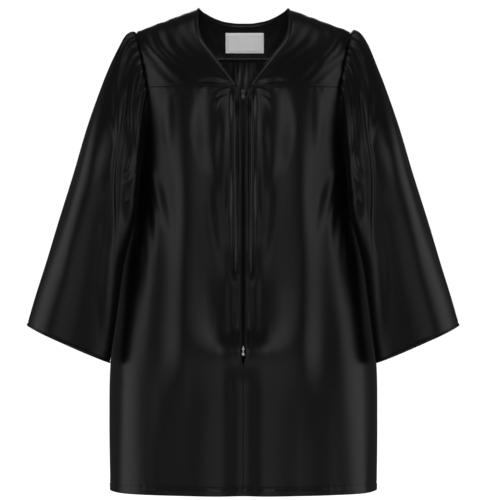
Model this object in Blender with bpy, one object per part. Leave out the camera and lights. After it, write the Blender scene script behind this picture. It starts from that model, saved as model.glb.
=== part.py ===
"""A child's graduation gown in black satin, worn but with no wearer in it.

Metres, +Z up. The front faces -Y, so the wearer's left is at +X. The origin is midway between the two
neck points, where the shoulders carry the gown. Levels are drops: distances below the neck points.

The body is one form, a stack of rounded sections that closes over a shoulder ridge. Every panel is a
patch of that form between its own cut edges, with its folds added, and its wall goes inwards from there.
"""

import functools
import math
from collections import namedtuple

import bpy
import numpy as np

FRONT = -1
BACK = 1

# Cloth and seams
CLOTH = 0.0015
SEAM_GAP = 0.0003
HALF_GAP = SEAM_GAP / 2

# Levels
HEM = 0.826
FRONT_YOKE_SEAM = 0.139
BACK_YOKE_SEAM = 0.080
UNDERARM = 0.285

# The shoulder ridge falls from the neck towards the armholes
RIDGE_TOP = 0.0335
RIDGE_SLOPE = 0.39
RIDGE_ROUND = 0.040
CHEST = {FRONT: 0.230, BACK: 0.200}
ROUNDNESS = 2.5

# Back neck edge: how far it dips below the ridge at the centre
NECK_HALF_WIDTH = 0.075
NECK_DIP = 0.0384

Section = namedtuple("Section", "drop half_width front_depth back_depth side_back")
BODY = [
    Section(-0.040, 0.216, 0.100, 0.088, 0.000),
    Section(0.040, 0.205, 0.103, 0.092, 0.000),
    Section(0.110, 0.192, 0.106, 0.096, 0.000),
    Section(0.160, 0.185, 0.107, 0.098, 0.000),
    Section(0.230, 0.180, 0.108, 0.100, 0.000),
    Section(0.285, 0.180, 0.109, 0.102, 0.000),
    Section(0.345, 0.188, 0.111, 0.105, 0.014),
    Section(0.430, 0.208, 0.114, 0.108, 0.032),
    Section(0.520, 0.220, 0.118, 0.112, 0.036),
    Section(0.610, 0.230, 0.121, 0.116, 0.030),
    Section(0.700, 0.231, 0.124, 0.119, 0.017),
    Section(0.826, 0.229, 0.127, 0.122, 0.005),
]

# How far from the centre each cut edge lies at a level: the front neck and centre edge, and the armhole
Edge = namedtuple("Edge", "drop x")
FRONT_EDGE = [
    Edge(-0.010, 0.0745),
    Edge(0.000, 0.0750),
    Edge(0.020, 0.0765),
    Edge(0.042, 0.0745),
    Edge(0.060, 0.0677),
    Edge(0.085, 0.0495),
    Edge(0.110, 0.0310),
    Edge(0.135, 0.0127),
    Edge(0.148, 0.0080),
    Edge(0.165, 0.0052),
    Edge(0.200, 0.0046),
    Edge(0.575, 0.0046),
    Edge(0.594, 0.0042),
    Edge(0.608, HALF_GAP),
    Edge(0.640, HALF_GAP),
    Edge(0.900, HALF_GAP),
]
FRONT_ARMHOLE = [
    Edge(0.000, 0.190),
    Edge(0.040, 0.183),
    Edge(0.075, 0.175),
    Edge(0.110, 0.168),
    Edge(0.160, 0.1615),
    Edge(0.210, 0.163),
    Edge(0.245, 0.1685),
    Edge(0.265, 0.1735),
    Edge(0.275, 0.1765),
    Edge(0.281, 0.1785),
    Edge(0.285, 0.1800),
]
BACK_ARMHOLE = [
    Edge(0.000, 0.190),
    Edge(0.040, 0.183),
    Edge(0.080, 0.174),
    Edge(0.120, 0.168),
    Edge(0.160, 0.166),
    Edge(0.210, 0.167),
    Edge(0.245, 0.1705),
    Edge(0.265, 0.1745),
    Edge(0.275, 0.1768),
    Edge(0.281, 0.1786),
    Edge(0.285, 0.1800),
]
ARMHOLE = {FRONT: FRONT_ARMHOLE, BACK: BACK_ARMHOLE}

# Folds: where each lies across the cloth at its top and its foot, its half width, how far it stands out
# (a trough is negative), and the drops, or the shares of the sleeve, where it starts and ends
Fold = namedtuple("Fold", "across_top across_foot half_width rise top foot")
FRONT_FOLDS = [
    Fold(0.012, 0.011, 0.008, -0.0016, 0.160, 0.610),
    Fold(0.020, 0.018, 0.011, 0.0026, 0.150, 0.640),
    Fold(0.036, 0.034, 0.016, 0.0030, 0.215, 0.330),
    Fold(0.044, 0.042, 0.022, -0.0040, 0.330, 0.640),
    Fold(0.062, 0.060, 0.026, -0.0035, 0.165, 0.300),
    Fold(0.085, 0.095, 0.040, 0.0045, 0.190, 0.620),
    Fold(0.130, 0.135, 0.030, -0.0040, 0.250, 0.600),
    Fold(0.046, 0.044, 0.034, 0.0060, 0.600, 1.000),
    Fold(0.120, 0.115, 0.050, -0.0030, 0.600, 1.000),
    Fold(0.196, 0.216, 0.036, 0.0070, 0.480, 1.000),
    Fold(0.000, 0.000, 0.018, -0.0050, 0.640, 1.000),
]
BACK_FOLDS = [
    Fold(0.000, 0.000, 0.026, -0.0060, 0.085, 1.000),
    Fold(-0.038, -0.052, 0.028, 0.0070, 0.085, 1.000),
    Fold(0.040, 0.050, 0.028, 0.0065, 0.085, 1.000),
    Fold(-0.074, -0.104, 0.030, -0.0065, 0.085, 1.000),
    Fold(0.078, 0.102, 0.030, -0.0070, 0.085, 1.000),
    Fold(-0.112, -0.158, 0.032, 0.0075, 0.085, 1.000),
    Fold(0.110, 0.152, 0.032, 0.0070, 0.085, 1.000),
    Fold(-0.145, -0.210, 0.032, -0.0055, 0.170, 1.000),
    Fold(0.146, 0.206, 0.032, -0.0060, 0.180, 1.000),
]
SLEEVE_FOLDS = [
    Fold(30, 132, 20, -0.0045, 0.020, 0.560),
    Fold(58, 158, 24, 0.0030, 0.060, 0.520),
    Fold(52, 70, 30, 0.0035, 0.300, 1.300),
    Fold(112, 118, 30, -0.0045, 0.480, 1.300),
    Fold(250, 240, 30, -0.0050, 0.250, 1.300),
    Fold(300, 292, 30, 0.0050, 0.200, 1.300),
]
FOLD_FADE = 0.045
SLEEVE_FOLD_FADE = 0.12

# The sleeve between its outer line and its under line, from the armhole (0) to the cuff (1)
Ring = namedtuple("Ring", "along top_x top_drop under_x under_drop forward half_depth")
SLEEVE = [
    Ring(0.00, 0.1830, 0.0396, 0.1800, 0.285, 0.000, 0.060),
    Ring(0.03, 0.1980, 0.0450, 0.1825, 0.295, 0.003, 0.061),
    Ring(0.06, 0.2085, 0.0585, 0.1837, 0.305, 0.010, 0.062),
    Ring(0.11, 0.2210, 0.0825, 0.1848, 0.321, 0.020, 0.063),
    Ring(0.17, 0.2335, 0.1130, 0.1866, 0.341, 0.031, 0.064),
    Ring(0.25, 0.2480, 0.1540, 0.1895, 0.367, 0.042, 0.065),
    Ring(0.35, 0.2655, 0.2060, 0.1945, 0.399, 0.049, 0.066),
    Ring(0.50, 0.2885, 0.2840, 0.2035, 0.447, 0.052, 0.065),
    Ring(0.65, 0.3125, 0.3620, 0.2105, 0.495, 0.053, 0.063),
    Ring(0.80, 0.3355, 0.4400, 0.2170, 0.543, 0.053, 0.061),
    Ring(0.92, 0.3545, 0.5010, 0.2225, 0.581, 0.053, 0.059),
    Ring(1.00, 0.3665, 0.5430, 0.2260, 0.607, 0.053, 0.058),
]
SLEEVE_PINCH = 0.40
ARMHOLE_BLEND = 0.35

# Grids
FRONT_ARMHOLE_LEVELS = [0.154, 0.174, 0.198, 0.223, 0.248, 0.273, 0.298, 0.322]
BACK_ARMHOLE_LEVELS = [0.104, 0.130, 0.157, 0.184, 0.211, 0.238, 0.265, 0.292, 0.320]
Row = namedtuple("Row", "centre side")
SKIRT_ROWS = [
    Row(0.346, UNDERARM),
    Row(0.382, 0.325),
    Row(0.425, 0.375),
    Row(0.475, 0.430),
    Row(0.530, 0.490),
    Row(0.575, 0.545),
    Row(0.594, 0.580),
    Row(0.608, 0.605),
    Row(0.655, 0.655),
    Row(0.710, 0.710),
    Row(0.770, 0.770),
    Row(HEM, HEM),
]
SLEEVE_RINGS = [0, 0.03, 0.06, 0.11, 0.17, 0.25, 0.34, 0.43, 0.52, 0.61, 0.70, 0.79, 0.87, 0.94, 1]
FRONT_COLUMNS = 17
FRONT_CROWDING = 1.4
BACK_COLUMNS = 25
YOKE_ROWS = 6
FRONT_YOKE_COLUMNS = 7
BACK_YOKE_SIDE_COLUMNS = 5
BACK_YOKE_NECK_COLUMNS = 9
SECTION_STEPS = 361
PROBE = 0.0005

# Zip
ZIP_TOP = 0.1455
ZIP_FOOT = 0.5740
TAPE_INNER_EDGE = 0.0028
TAPE_THICKNESS = 0.0010
TAPE_COLUMNS = 3
TAPE_END = 0.608
COIL_WIDTH = 0.0022
COIL_FRONT = 0.0016
COIL_BACK = 0.0032
COIL_HIDDEN = 0.0035

# Slider, in its own frame: across the zip, up the zip, and out of the cloth
SLIDER_LEVEL = 0.1500
SLIDER_HALF_LENGTH = 0.0045
SLIDER_HALF_WIDTH = 0.0034
SLIDER_WAIST = 0.0026
SLIDER_WAIST_END = 0.2
SLIDER_CORNER = 0.6
FRONT_PLATE = (-0.00125, -0.00005)
BACK_PLATE = (-0.00475, -0.00355)
POST_HALF_WIDTH = 0.0010
POST_LENGTH = 0.0022
BRIDGE_HALF_WIDTH = 0.0009
BRIDGE_HALF_LENGTH = 0.0034
BRIDGE_UNDERSIDE = 0.0020
BRIDGE_TOP = 0.0029
BRIDGE_FOOT = 0.0011
JOINT_INSET = 0.0001

# Pull tab, hinged on a round bar that passes under the bridge
PIVOT_OUT = 0.0010
PIVOT_RADIUS = 0.0006
ARM_INNER = 0.0014
ARM_OUTER = 0.0026
ARM_LENGTH = 0.0052
SHOULDER_DROP = 0.0010
SLOT_LENGTH = 0.0048
TAB_LENGTH = 0.0135
TAB_HALF_WIDTH = 0.0030
TAB_THICKNESS = 0.0010
TAB_HOLE_RADIUS = 0.0011

# Bottom stop: a pointed lobe over a round one
STOP_TOP = 0.5745
STOP_UPPER_CENTRE = 0.5805
STOP_UPPER_RADIUS = 0.0021
STOP_LOWER_CENTRE = 0.5890
STOP_LOWER_RADIUS = 0.0025
STOP_WAIST = 0.0009
STOP_POINT = 0.9
STOP_DEPTHS = (0.0002, 0.0034)
STOP_STEPS = 18

# Label on the inside of the back yoke
LABEL_WIDTH = 0.067
LABEL_TOP = 0.0355
LABEL_FOOT = 0.0700
LABEL_CENTRE = 0.002
LABEL_CLEARANCE = 0.0007
LABEL_THICKNESS = 0.0010
LABEL_COLUMNS = 6
LABEL_ROWS = 4

Material = namedtuple("Material", "name colour roughness metallic")
SATIN = Material("black_satin", (0.006, 0.006, 0.007), 0.38, 0.0)
TAPE = Material("zip_tape", (0.008, 0.008, 0.009), 0.80, 0.0)
COIL = Material("zip_coil", (0.010, 0.010, 0.011), 0.35, 0.0)
DARK_METAL = Material("dark_metal", (0.020, 0.020, 0.022), 0.35, 0.9)
PALE_METAL = Material("pale_metal", (0.75, 0.75, 0.76), 0.25, 1.0)
LABEL = Material("label_cloth", (0.80, 0.80, 0.80), 0.70, 0.0)


def read(table, column, at):
    """A column of a table at any value of its first column, on one smooth curve through the rows."""
    keys = np.array([row[0] for row in table])
    values = np.array([getattr(row, column) for row in table])
    slopes = np.gradient(values, keys)
    index = np.clip(np.searchsorted(keys, at) - 1, 0, len(keys) - 2)
    span = keys[index + 1] - keys[index]
    t = np.clip((at - keys[index]) / span, 0, 1)
    rise = values[index + 1] - values[index]
    bend = (1 - t) * (slopes[index] * span - rise) + t * (rise - slopes[index + 1] * span)
    return values[index] + t * rise + t * (1 - t) * bend


def smooth_step(t):
    t = np.clip(t, 0, 1)
    return t * t * (3 - 2 * t)


def fold_rise(folds, across, along, fade):
    """How far the folds lift the cloth off its bare form at each place across, at one level."""
    total = np.zeros_like(across)
    for fold in folds:
        share = np.clip((along - fold.top) / (fold.foot - fold.top), 0, 1)
        middle = fold.across_top + (fold.across_foot - fold.across_top) * share
        distance = np.clip(np.abs(across - middle) / fold.half_width, 0, 1)
        strength = smooth_step((along - fold.top) / fade) * smooth_step((fold.foot - along) / fade)
        total += fold.rise * strength * np.cos(distance * math.pi / 2) ** 2
    return total


def unit(vectors):
    return vectors / np.linalg.norm(vectors, axis=-1, keepdims=True)


def ridge_height(x):
    return RIDGE_TOP - RIDGE_SLOPE * np.sqrt(np.square(x) + RIDGE_ROUND**2)


def section_depth(drop, face):
    return read(BODY, "front_depth" if face == FRONT else "back_depth", drop)


@functools.lru_cache(maxsize=None)
def section_line(drop, face):
    """One level of the body from its centre to its side: x, y and the distance along the cloth."""
    turn = np.linspace(0, math.pi / 2, SECTION_STEPS)
    x = read(BODY, "half_width", drop) * np.sin(turn) ** (2 / ROUNDNESS)
    share = np.cos(turn) ** (2 / ROUNDNESS)
    climb = np.clip((CHEST[face] - drop) / (CHEST[face] + ridge_height(x)), 0, 1)
    side_back = read(BODY, "side_back", drop)
    y = side_back + face * (section_depth(drop, face) - face * side_back) * share * np.sqrt(1 - climb**2)
    along = np.concatenate([[0], np.cumsum(np.hypot(np.diff(x), np.diff(y)))])
    return x, y, along


def body_point(across, drop, face):
    x, y, along = section_line(round(float(drop), 7), face)
    distance = abs(across)
    return [math.copysign(np.interp(distance, along, x), across), np.interp(distance, along, y), -drop]


def body_place(across, drop, face):
    """Points of the bare body form at distances across and drops, both arrays."""
    return np.array([body_point(a, d, face) for a, d in zip(across, drop)])


def body_form(across, drop, face):
    """Points of the bare body form and their outward directions."""
    sideways = body_place(across + PROBE, drop, face) - body_place(across - PROBE, drop, face)
    downward = body_place(across, drop + PROBE, face) - body_place(across, drop - PROBE, face)
    return body_place(across, drop, face), unit(np.cross(sideways, downward) * face)


def yoke_place(x, turn, face):
    """A point over the shoulder: turn is 0 at chest level and a quarter turn on the ridge."""
    height = ridge_height(x)
    z = -CHEST[face] + (height + CHEST[face]) * np.sin(turn)
    share = 1 - (np.abs(x) / read(BODY, "half_width", -z)) ** ROUNDNESS
    y = face * section_depth(-z, face) * np.clip(share, 0, 1) ** (1 / ROUNDNESS) * np.cos(turn)
    return np.stack([x + 0 * z, y, z], -1)


def yoke_form(x, turn, face):
    sideways = yoke_place(x + PROBE, turn, face) - yoke_place(x - PROBE, turn, face)
    upward = yoke_place(x, turn + PROBE, face) - yoke_place(x, turn - PROBE, face)
    return yoke_place(x, turn, face), unit(np.cross(sideways, upward) * -face)


def turn_at_level(x, drop, face):
    return np.arcsin(np.clip((CHEST[face] - drop) / (CHEST[face] + ridge_height(x)), -1, 1))


def turn_at_ridge(x, face):
    """The turn that leaves half of the seam gap before the ridge."""
    reach = np.abs(yoke_place(x, np.full_like(x, math.pi / 2 - PROBE), face)[..., 1]) / PROBE
    return math.pi / 2 - HALF_GAP / reach


def turn_at_neck(x):
    dip = NECK_DIP * np.clip(1 - (x / NECK_HALF_WIDTH) ** 2, 0, 1)
    at_edge = np.arcsin(1 - dip / (ridge_height(x) + CHEST[BACK]))
    return np.minimum(at_edge, turn_at_ridge(x, BACK))


def edge_on_row(row_turn, table, face):
    """Where a row of a yoke meets a cut edge that is given by level."""
    x = np.array([table[0].x])
    for _ in range(60):
        level = -yoke_place(x, row_turn(x), face)[..., 2]
        x = 0.5 * x + 0.5 * read(table, "x", level)
    return float(x[0])


def front_yoke_rows():
    """x and turn of every point of a front yoke, from its seam up to the ridge."""
    rows = []
    for share in np.linspace(0, 1, YOKE_ROWS):

        def row_turn(x, share=share):
            low = turn_at_level(x, FRONT_YOKE_SEAM - HALF_GAP, FRONT)
            return low + (turn_at_ridge(x, FRONT) - low) * share

        neck = edge_on_row(row_turn, FRONT_EDGE, FRONT)
        armhole = edge_on_row(row_turn, FRONT_ARMHOLE, FRONT)
        x = np.linspace(neck, armhole, FRONT_YOKE_COLUMNS)
        rows.append((x, row_turn(x)))
    return rows


def back_yoke_rows():
    """x and turn of every point of the back yoke, from its seam up to the ridge and the neck edge."""
    rows = []
    for share in np.linspace(0, 1, YOKE_ROWS):

        def row_turn(x, share=share):
            low = turn_at_level(x, BACK_YOKE_SEAM - HALF_GAP, BACK)
            return low + (turn_at_neck(x) - low) * share

        armhole = edge_on_row(row_turn, BACK_ARMHOLE, BACK)
        side = np.linspace(NECK_HALF_WIDTH, armhole, BACK_YOKE_SIDE_COLUMNS)
        neck = NECK_HALF_WIDTH * np.sin(np.linspace(-math.pi / 2, math.pi / 2, BACK_YOKE_NECK_COLUMNS))
        x = np.concatenate([-side[::-1], neck[1:-1], side])
        rows.append((x, row_turn(x)))
    return rows


def yoke_layer(rows, face, depth):
    layers = []
    for x, turn in rows:
        point, normal = yoke_form(x, turn, face)
        layers.append(point - normal * depth)
    return np.array(layers)


def reach_at(drop, table, face):
    """The distance across the cloth at which a cut edge, or the side seam under the armhole, lies."""
    x, _, along = section_line(round(float(drop), 7), face)
    if table is not FRONT_EDGE and drop >= UNDERARM:
        return along[-1] - HALF_GAP
    return float(np.interp(read(table, "x", drop), x, along))


def armhole_drops(seam, count, face):
    """Levels of equal steps along the armhole's edge, from a yoke seam to the underarm."""
    drops = seam + (UNDERARM - seam) * np.sin(np.linspace(0, math.pi / 2, 400))
    edge = np.array([body_point(reach_at(drop, ARMHOLE[face], face), drop, face) for drop in drops])
    steps = np.linalg.norm(np.diff(edge, axis=0), axis=1)
    along = np.concatenate([[0], np.cumsum(steps)])
    return np.interp(np.linspace(0, along[-1], count + 1), along, drops)


def panel_rows(seam, armhole_levels, face):
    """Each row of a panel as its level at the centre and at the side; rows bend down from the armhole."""
    sides = armhole_drops(seam + HALF_GAP, len(armhole_levels) + 1, face)
    centres = [seam + HALF_GAP] + armhole_levels
    return [Row(c, s) for c, s in zip(centres, sides)] + SKIRT_ROWS


@functools.lru_cache(maxsize=None)
def front_row(row):
    """Distances across the cloth and drops of one row of a front panel, from the centre edge to the side."""
    inner = reach_at(row.centre, FRONT_EDGE, FRONT)
    outer = reach_at(row.side, FRONT_ARMHOLE, FRONT)
    shares = np.linspace(0, 1, FRONT_COLUMNS) ** FRONT_CROWDING
    return inner + (outer - inner) * shares, row.centre + (row.side - row.centre) * shares


@functools.lru_cache(maxsize=None)
def back_row(row):
    """Distances across the cloth and drops of one row of the back panel, from side to side."""
    outer = reach_at(row.side, BACK_ARMHOLE, BACK)
    shares = np.linspace(-1, 1, BACK_COLUMNS)
    return outer * shares, row.centre + (row.side - row.centre) * np.abs(shares)


def panel_layer(rows, place_row, face, folds, depth):
    """One face of a panel: depth is measured inwards from the outside of the cloth."""
    layer = []
    for row in rows:
        across, drop = place_row(row)
        point, normal = body_form(across, drop, face)
        lift = fold_rise(folds, across, drop, FOLD_FADE) - depth
        layer.append(point + normal * lift[:, None])
    return np.array(layer)


def armhole_loop(front_yoke, front_panel, back_yoke, back_panel):
    """The armhole's edge points and outward directions, from the ridge down the front and up the back."""
    pairs = []
    for x, turn in front_yoke[::-1]:
        pairs.append(yoke_form(x[-1:], turn[-1:], FRONT))
    for row in front_panel[1 : len(FRONT_ARMHOLE_LEVELS) + 2]:
        across, drop = front_row(row)
        pairs.append(body_form(across[-1:], drop[-1:], FRONT))
    underarm = len(pairs) - 1
    for row in back_panel[1 : len(BACK_ARMHOLE_LEVELS) + 1][::-1]:
        across, drop = back_row(row)
        pairs.append(body_form(across[-1:], drop[-1:], BACK))
    for x, turn in back_yoke[:-1]:
        pairs.append(yoke_form(x[-1:], turn[-1:], BACK))
    points = np.array([point[0] for point, _ in pairs])
    normals = np.array([normal[0] for _, normal in pairs])
    points[[0, underarm], 1] = 0
    return points, normals, underarm


def around_angles(points, underarm):
    """Each armhole point's angle round the sleeve: 0 on top, a half turn at the underarm."""
    closed = np.concatenate([points, points[:1]])
    steps = np.linalg.norm(np.diff(closed, axis=0), axis=1)
    along = np.concatenate([[0], np.cumsum(steps)])
    front = along[:underarm] / along[underarm] * math.pi
    back = math.pi + (along[underarm:-1] - along[underarm]) / (along[-1] - along[underarm]) * math.pi
    return np.concatenate([front, back])


def sleeve_ring(along, angle):
    """One ring of the bare sleeve: an oval between the outer line and the under line."""
    top = np.array([read(SLEEVE, "top_x", along), 0, -read(SLEEVE, "top_drop", along)])
    under = np.array([read(SLEEVE, "under_x", along), 0, -read(SLEEVE, "under_drop", along)])
    pinch = 1 - SLEEVE_PINCH * ((1 - np.cos(angle)) / 2) ** 2
    ring = (top + under) / 2 + np.cos(angle)[:, None] * (top - under) / 2
    ring[:, 1] = -read(SLEEVE, "forward", along) - read(SLEEVE, "half_depth", along) * np.sin(angle) * pinch
    return ring


def grid_normals(grid):
    """Outward directions on a tube of rings, from its neighbours round it and along it."""
    around = np.roll(grid, -1, axis=1) - np.roll(grid, 1, axis=1)
    along = np.gradient(grid, axis=0)
    return unit(np.cross(around, along))


def sleeve_layers(points, normals, underarm):
    """Outer and inner points of the left sleeve, ring by ring."""
    angle = around_angles(points, underarm)
    offset = points - sleeve_ring(0, angle)
    bare = []
    for along in SLEEVE_RINGS:
        blend = 1 - smooth_step(along / ARMHOLE_BLEND)
        bare.append(sleeve_ring(along, angle) + offset * blend)
    bare = np.array(bare)
    outward = grid_normals(bare)
    lean = np.clip(outward[0, :, 0] - normals[:, 0], 0, 1)
    bare[0, :, 0] += SEAM_GAP + CLOTH * lean
    degrees = np.degrees(angle)
    lift = np.array([fold_rise(SLEEVE_FOLDS, degrees, along, SLEEVE_FOLD_FADE) for along in SLEEVE_RINGS])
    outer = bare + outward * lift[..., None]
    return outer, outer - outward * CLOTH


def material(kind):
    found = bpy.data.materials.get(kind.name)
    if found:
        return found
    made = bpy.data.materials.new(kind.name)
    made.use_nodes = True
    shader = made.node_tree.nodes["Principled BSDF"]
    shader.inputs["Base Color"].default_value = (*kind.colour, 1)
    shader.inputs["Roughness"].default_value = kind.roughness
    shader.inputs["Metallic"].default_value = kind.metallic
    return made


def add_object(name, vertices, faces, kind, origin=(0, 0, 0)):
    """Adds one closed solid, with its faces turned outwards and its origin where it is asked for."""
    vertices = np.asarray(vertices, float)
    corners = [(face[0], face[i], face[i + 1]) for face in faces for i in range(1, len(face) - 1)]
    if np.linalg.det(vertices[np.array(corners)]).sum() < 0:
        faces = [tuple(reversed(face)) for face in faces]
    mesh = bpy.data.meshes.new(name)
    mesh.from_pydata((vertices - np.array(origin)).tolist(), [], [tuple(map(int, face)) for face in faces])
    mesh.materials.append(material(kind))
    mesh.shade_smooth()
    mesh.set_sharp_from_angle(angle=math.radians(50))
    made = bpy.data.objects.new(name, mesh)
    made.location = origin
    bpy.context.scene.collection.objects.link(made)
    return made


def add_wall(name, outer, inner, kind, tube=False):
    """A wall of cloth between two grids of points; a tube's columns close on themselves."""
    rows, columns = outer.shape[:2]
    vertices = np.concatenate([outer.reshape(-1, 3), inner.reshape(-1, 3)])
    layer = rows * columns
    faces = []

    def quad(a, b, c, d):
        faces.append((a, b, c))
        faces.append((a, c, d))

    last = columns if tube else columns - 1
    for i in range(rows - 1):
        for j in range(last):
            a = i * columns + j
            b = i * columns + (j + 1) % columns
            c = b + columns
            d = a + columns
            quad(a, b, c, d)
            faces.append((layer + a, layer + c, layer + b))
            faces.append((layer + a, layer + d, layer + c))
    for j in range(last):
        a = j
        b = (j + 1) % columns
        quad(b, a, layer + a, layer + b)
        a += (rows - 1) * columns
        b += (rows - 1) * columns
        quad(a, b, layer + b, layer + a)
    if not tube:
        for i in range(rows - 1):
            a = i * columns
            b = a + columns
            quad(a, b, layer + b, layer + a)
            a += columns - 1
            b += columns - 1
            quad(b, a, layer + a, layer + b)
    return add_object(name, vertices, faces, kind)


def mirrored(layer):
    return layer * np.array([-1, 1, 1])


def add_pair(name, outer, inner, kind, tube=False):
    add_wall(name + "_left", outer, inner, kind, tube)
    add_wall(name + "_right", mirrored(outer), mirrored(inner), kind, tube)


def add_body():
    """The yokes, the panels and the sleeves; the sleeves start from the armhole that the rest leaves."""
    front_yoke = front_yoke_rows()
    back_yoke = back_yoke_rows()
    front_panel = panel_rows(FRONT_YOKE_SEAM, FRONT_ARMHOLE_LEVELS, FRONT)
    back_panel = panel_rows(BACK_YOKE_SEAM, BACK_ARMHOLE_LEVELS, BACK)
    add_pair("yoke_front", yoke_layer(front_yoke, FRONT, 0), yoke_layer(front_yoke, FRONT, CLOTH), SATIN)
    add_wall("yoke_back", yoke_layer(back_yoke, BACK, 0), yoke_layer(back_yoke, BACK, CLOTH), SATIN)
    fronts = [panel_layer(front_panel, front_row, FRONT, FRONT_FOLDS, depth) for depth in (0, CLOTH)]
    add_pair("front", *fronts, SATIN)
    backs = [panel_layer(back_panel, back_row, BACK, BACK_FOLDS, depth) for depth in (0, CLOTH)]
    add_wall("back", *backs, SATIN)
    loop = armhole_loop(front_yoke, front_panel, back_yoke, back_panel)
    add_pair("sleeve", *sleeve_layers(*loop), SATIN, tube=True)


def tape_row(row):
    """The tape's edge beside the coil, then the front panel's own first places across."""
    across, drop = front_row(row)
    return np.append(TAPE_INNER_EDGE, across[:TAPE_COLUMNS]), np.append(drop[0], drop[:TAPE_COLUMNS])


def coil_row(row):
    return np.array([HALF_GAP, COIL_WIDTH]), np.array([row.centre, row.centre])


def add_zip_tapes_and_coils():
    """Both run along the front panel's own rows, behind it."""
    panel = panel_rows(FRONT_YOKE_SEAM, FRONT_ARMHOLE_LEVELS, FRONT)
    beside = [row for row in panel if ZIP_TOP < row.centre <= TAPE_END]
    rows = [Row(ZIP_TOP, beside[0].side)] + beside
    depths = (CLOTH + SEAM_GAP, CLOTH + SEAM_GAP + TAPE_THICKNESS)
    tapes = [panel_layer(rows, tape_row, FRONT, FRONT_FOLDS, depth) for depth in depths]
    add_pair("zip_tape", *tapes, TAPE)
    coil_top = SLIDER_LEVEL - SLIDER_HALF_LENGTH + COIL_HIDDEN
    drops = [coil_top] + [row.centre for row in beside if coil_top < row.centre < ZIP_FOOT] + [ZIP_FOOT]
    rows = [Row(drop, drop) for drop in drops]
    coils = [panel_layer(rows, coil_row, FRONT, (), depth) for depth in (COIL_FRONT, COIL_BACK)]
    add_pair("zip_coil", *coils, COIL)


def slider_frame(drop):
    """Where a zip piece sits: a point on the centre line, and its across, up and out directions."""
    point, normal = body_form(np.array([0.0]), np.array([drop]), FRONT)
    across = np.array([1.0, 0, 0])
    out = normal[0]
    return point[0], across, np.cross(out, across), out


def framed(frame, points):
    origin, across, up, out = frame
    points = np.asarray(points, float)
    return origin + points[:, :1] * across + points[:, 1:2] * up + points[:, 2:3] * out


def prism(outline, low, high):
    """Vertices and faces of an outline, given across and up, between two heights."""
    count = len(outline)
    vertices = [(x, u, low) for x, u in outline] + [(x, u, high) for x, u in outline]
    faces = [tuple(range(count)), tuple(range(count, 2 * count))[::-1]]
    for i in range(count):
        j = (i + 1) % count
        faces.append((i, i + count, j + count, j))
    return vertices, faces


def rectangle(x_low, x_high, up_low, up_high):
    return [(x_low, up_low), (x_high, up_low), (x_high, up_high), (x_low, up_high)]


def arc(centre, radius, start, stop, steps):
    angles = np.radians(np.linspace(start, stop, steps))
    return [(centre[0] + radius * math.cos(a), centre[1] + radius * math.sin(a)) for a in angles]


def add_prism(name, frame, outline, span, kind):
    vertices, faces = prism(outline, *span)
    return add_object(name, framed(frame, vertices), faces, kind)


def join(base, others):
    """Makes one closed body of overlapping pieces, and removes the pieces that were added."""
    for other in others:
        modifier = base.modifiers.new("join", "BOOLEAN")
        modifier.operation = "UNION"
        modifier.object = other
        other.hide_render = True
        other.display_type = "WIRE"


def add_slider():
    """Two plates round the zip, a post between them above the coils, and a bridge for the pull tab."""
    frame = slider_frame(SLIDER_LEVEL)
    half, wide = SLIDER_HALF_LENGTH, SLIDER_HALF_WIDTH
    right = [(SLIDER_WAIST, -half), (wide, -half * SLIDER_WAIST_END)]
    right += [(wide, half * SLIDER_CORNER), (wide * SLIDER_CORNER, half)]
    shield = right + [(-x, up) for x, up in right[::-1]]
    post = rectangle(-POST_HALF_WIDTH, POST_HALF_WIDTH, half - POST_LENGTH, half - JOINT_INSET)
    slider = add_prism("zip_slider", frame, shield, FRONT_PLATE, DARK_METAL)
    middle_of_plates = (sum(BACK_PLATE) / 2, sum(FRONT_PLATE) / 2)
    pieces = [
        add_prism("slider_back_plate", frame, shield, BACK_PLATE, DARK_METAL),
        add_prism("slider_post", frame, post, middle_of_plates, DARK_METAL),
    ]
    bar = rectangle(-BRIDGE_HALF_WIDTH, BRIDGE_HALF_WIDTH, -BRIDGE_HALF_LENGTH, BRIDGE_HALF_LENGTH)
    pieces.append(add_prism("slider_bridge", frame, bar, (BRIDGE_UNDERSIDE, BRIDGE_TOP), DARK_METAL))
    for name, end in (("slider_bridge_foot_low", -1), ("slider_bridge_foot_high", 1)):
        near = end * (BRIDGE_HALF_LENGTH - BRIDGE_FOOT)
        far = end * (BRIDGE_HALF_LENGTH - JOINT_INSET)
        inset = BRIDGE_HALF_WIDTH - JOINT_INSET
        foot = rectangle(-inset, inset, min(near, far), max(near, far))
        heights = (sum(FRONT_PLATE) / 2, (BRIDGE_UNDERSIDE + BRIDGE_TOP) / 2)
        pieces.append(add_prism(name, frame, foot, heights, DARK_METAL))
    join(slider, pieces)


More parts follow.
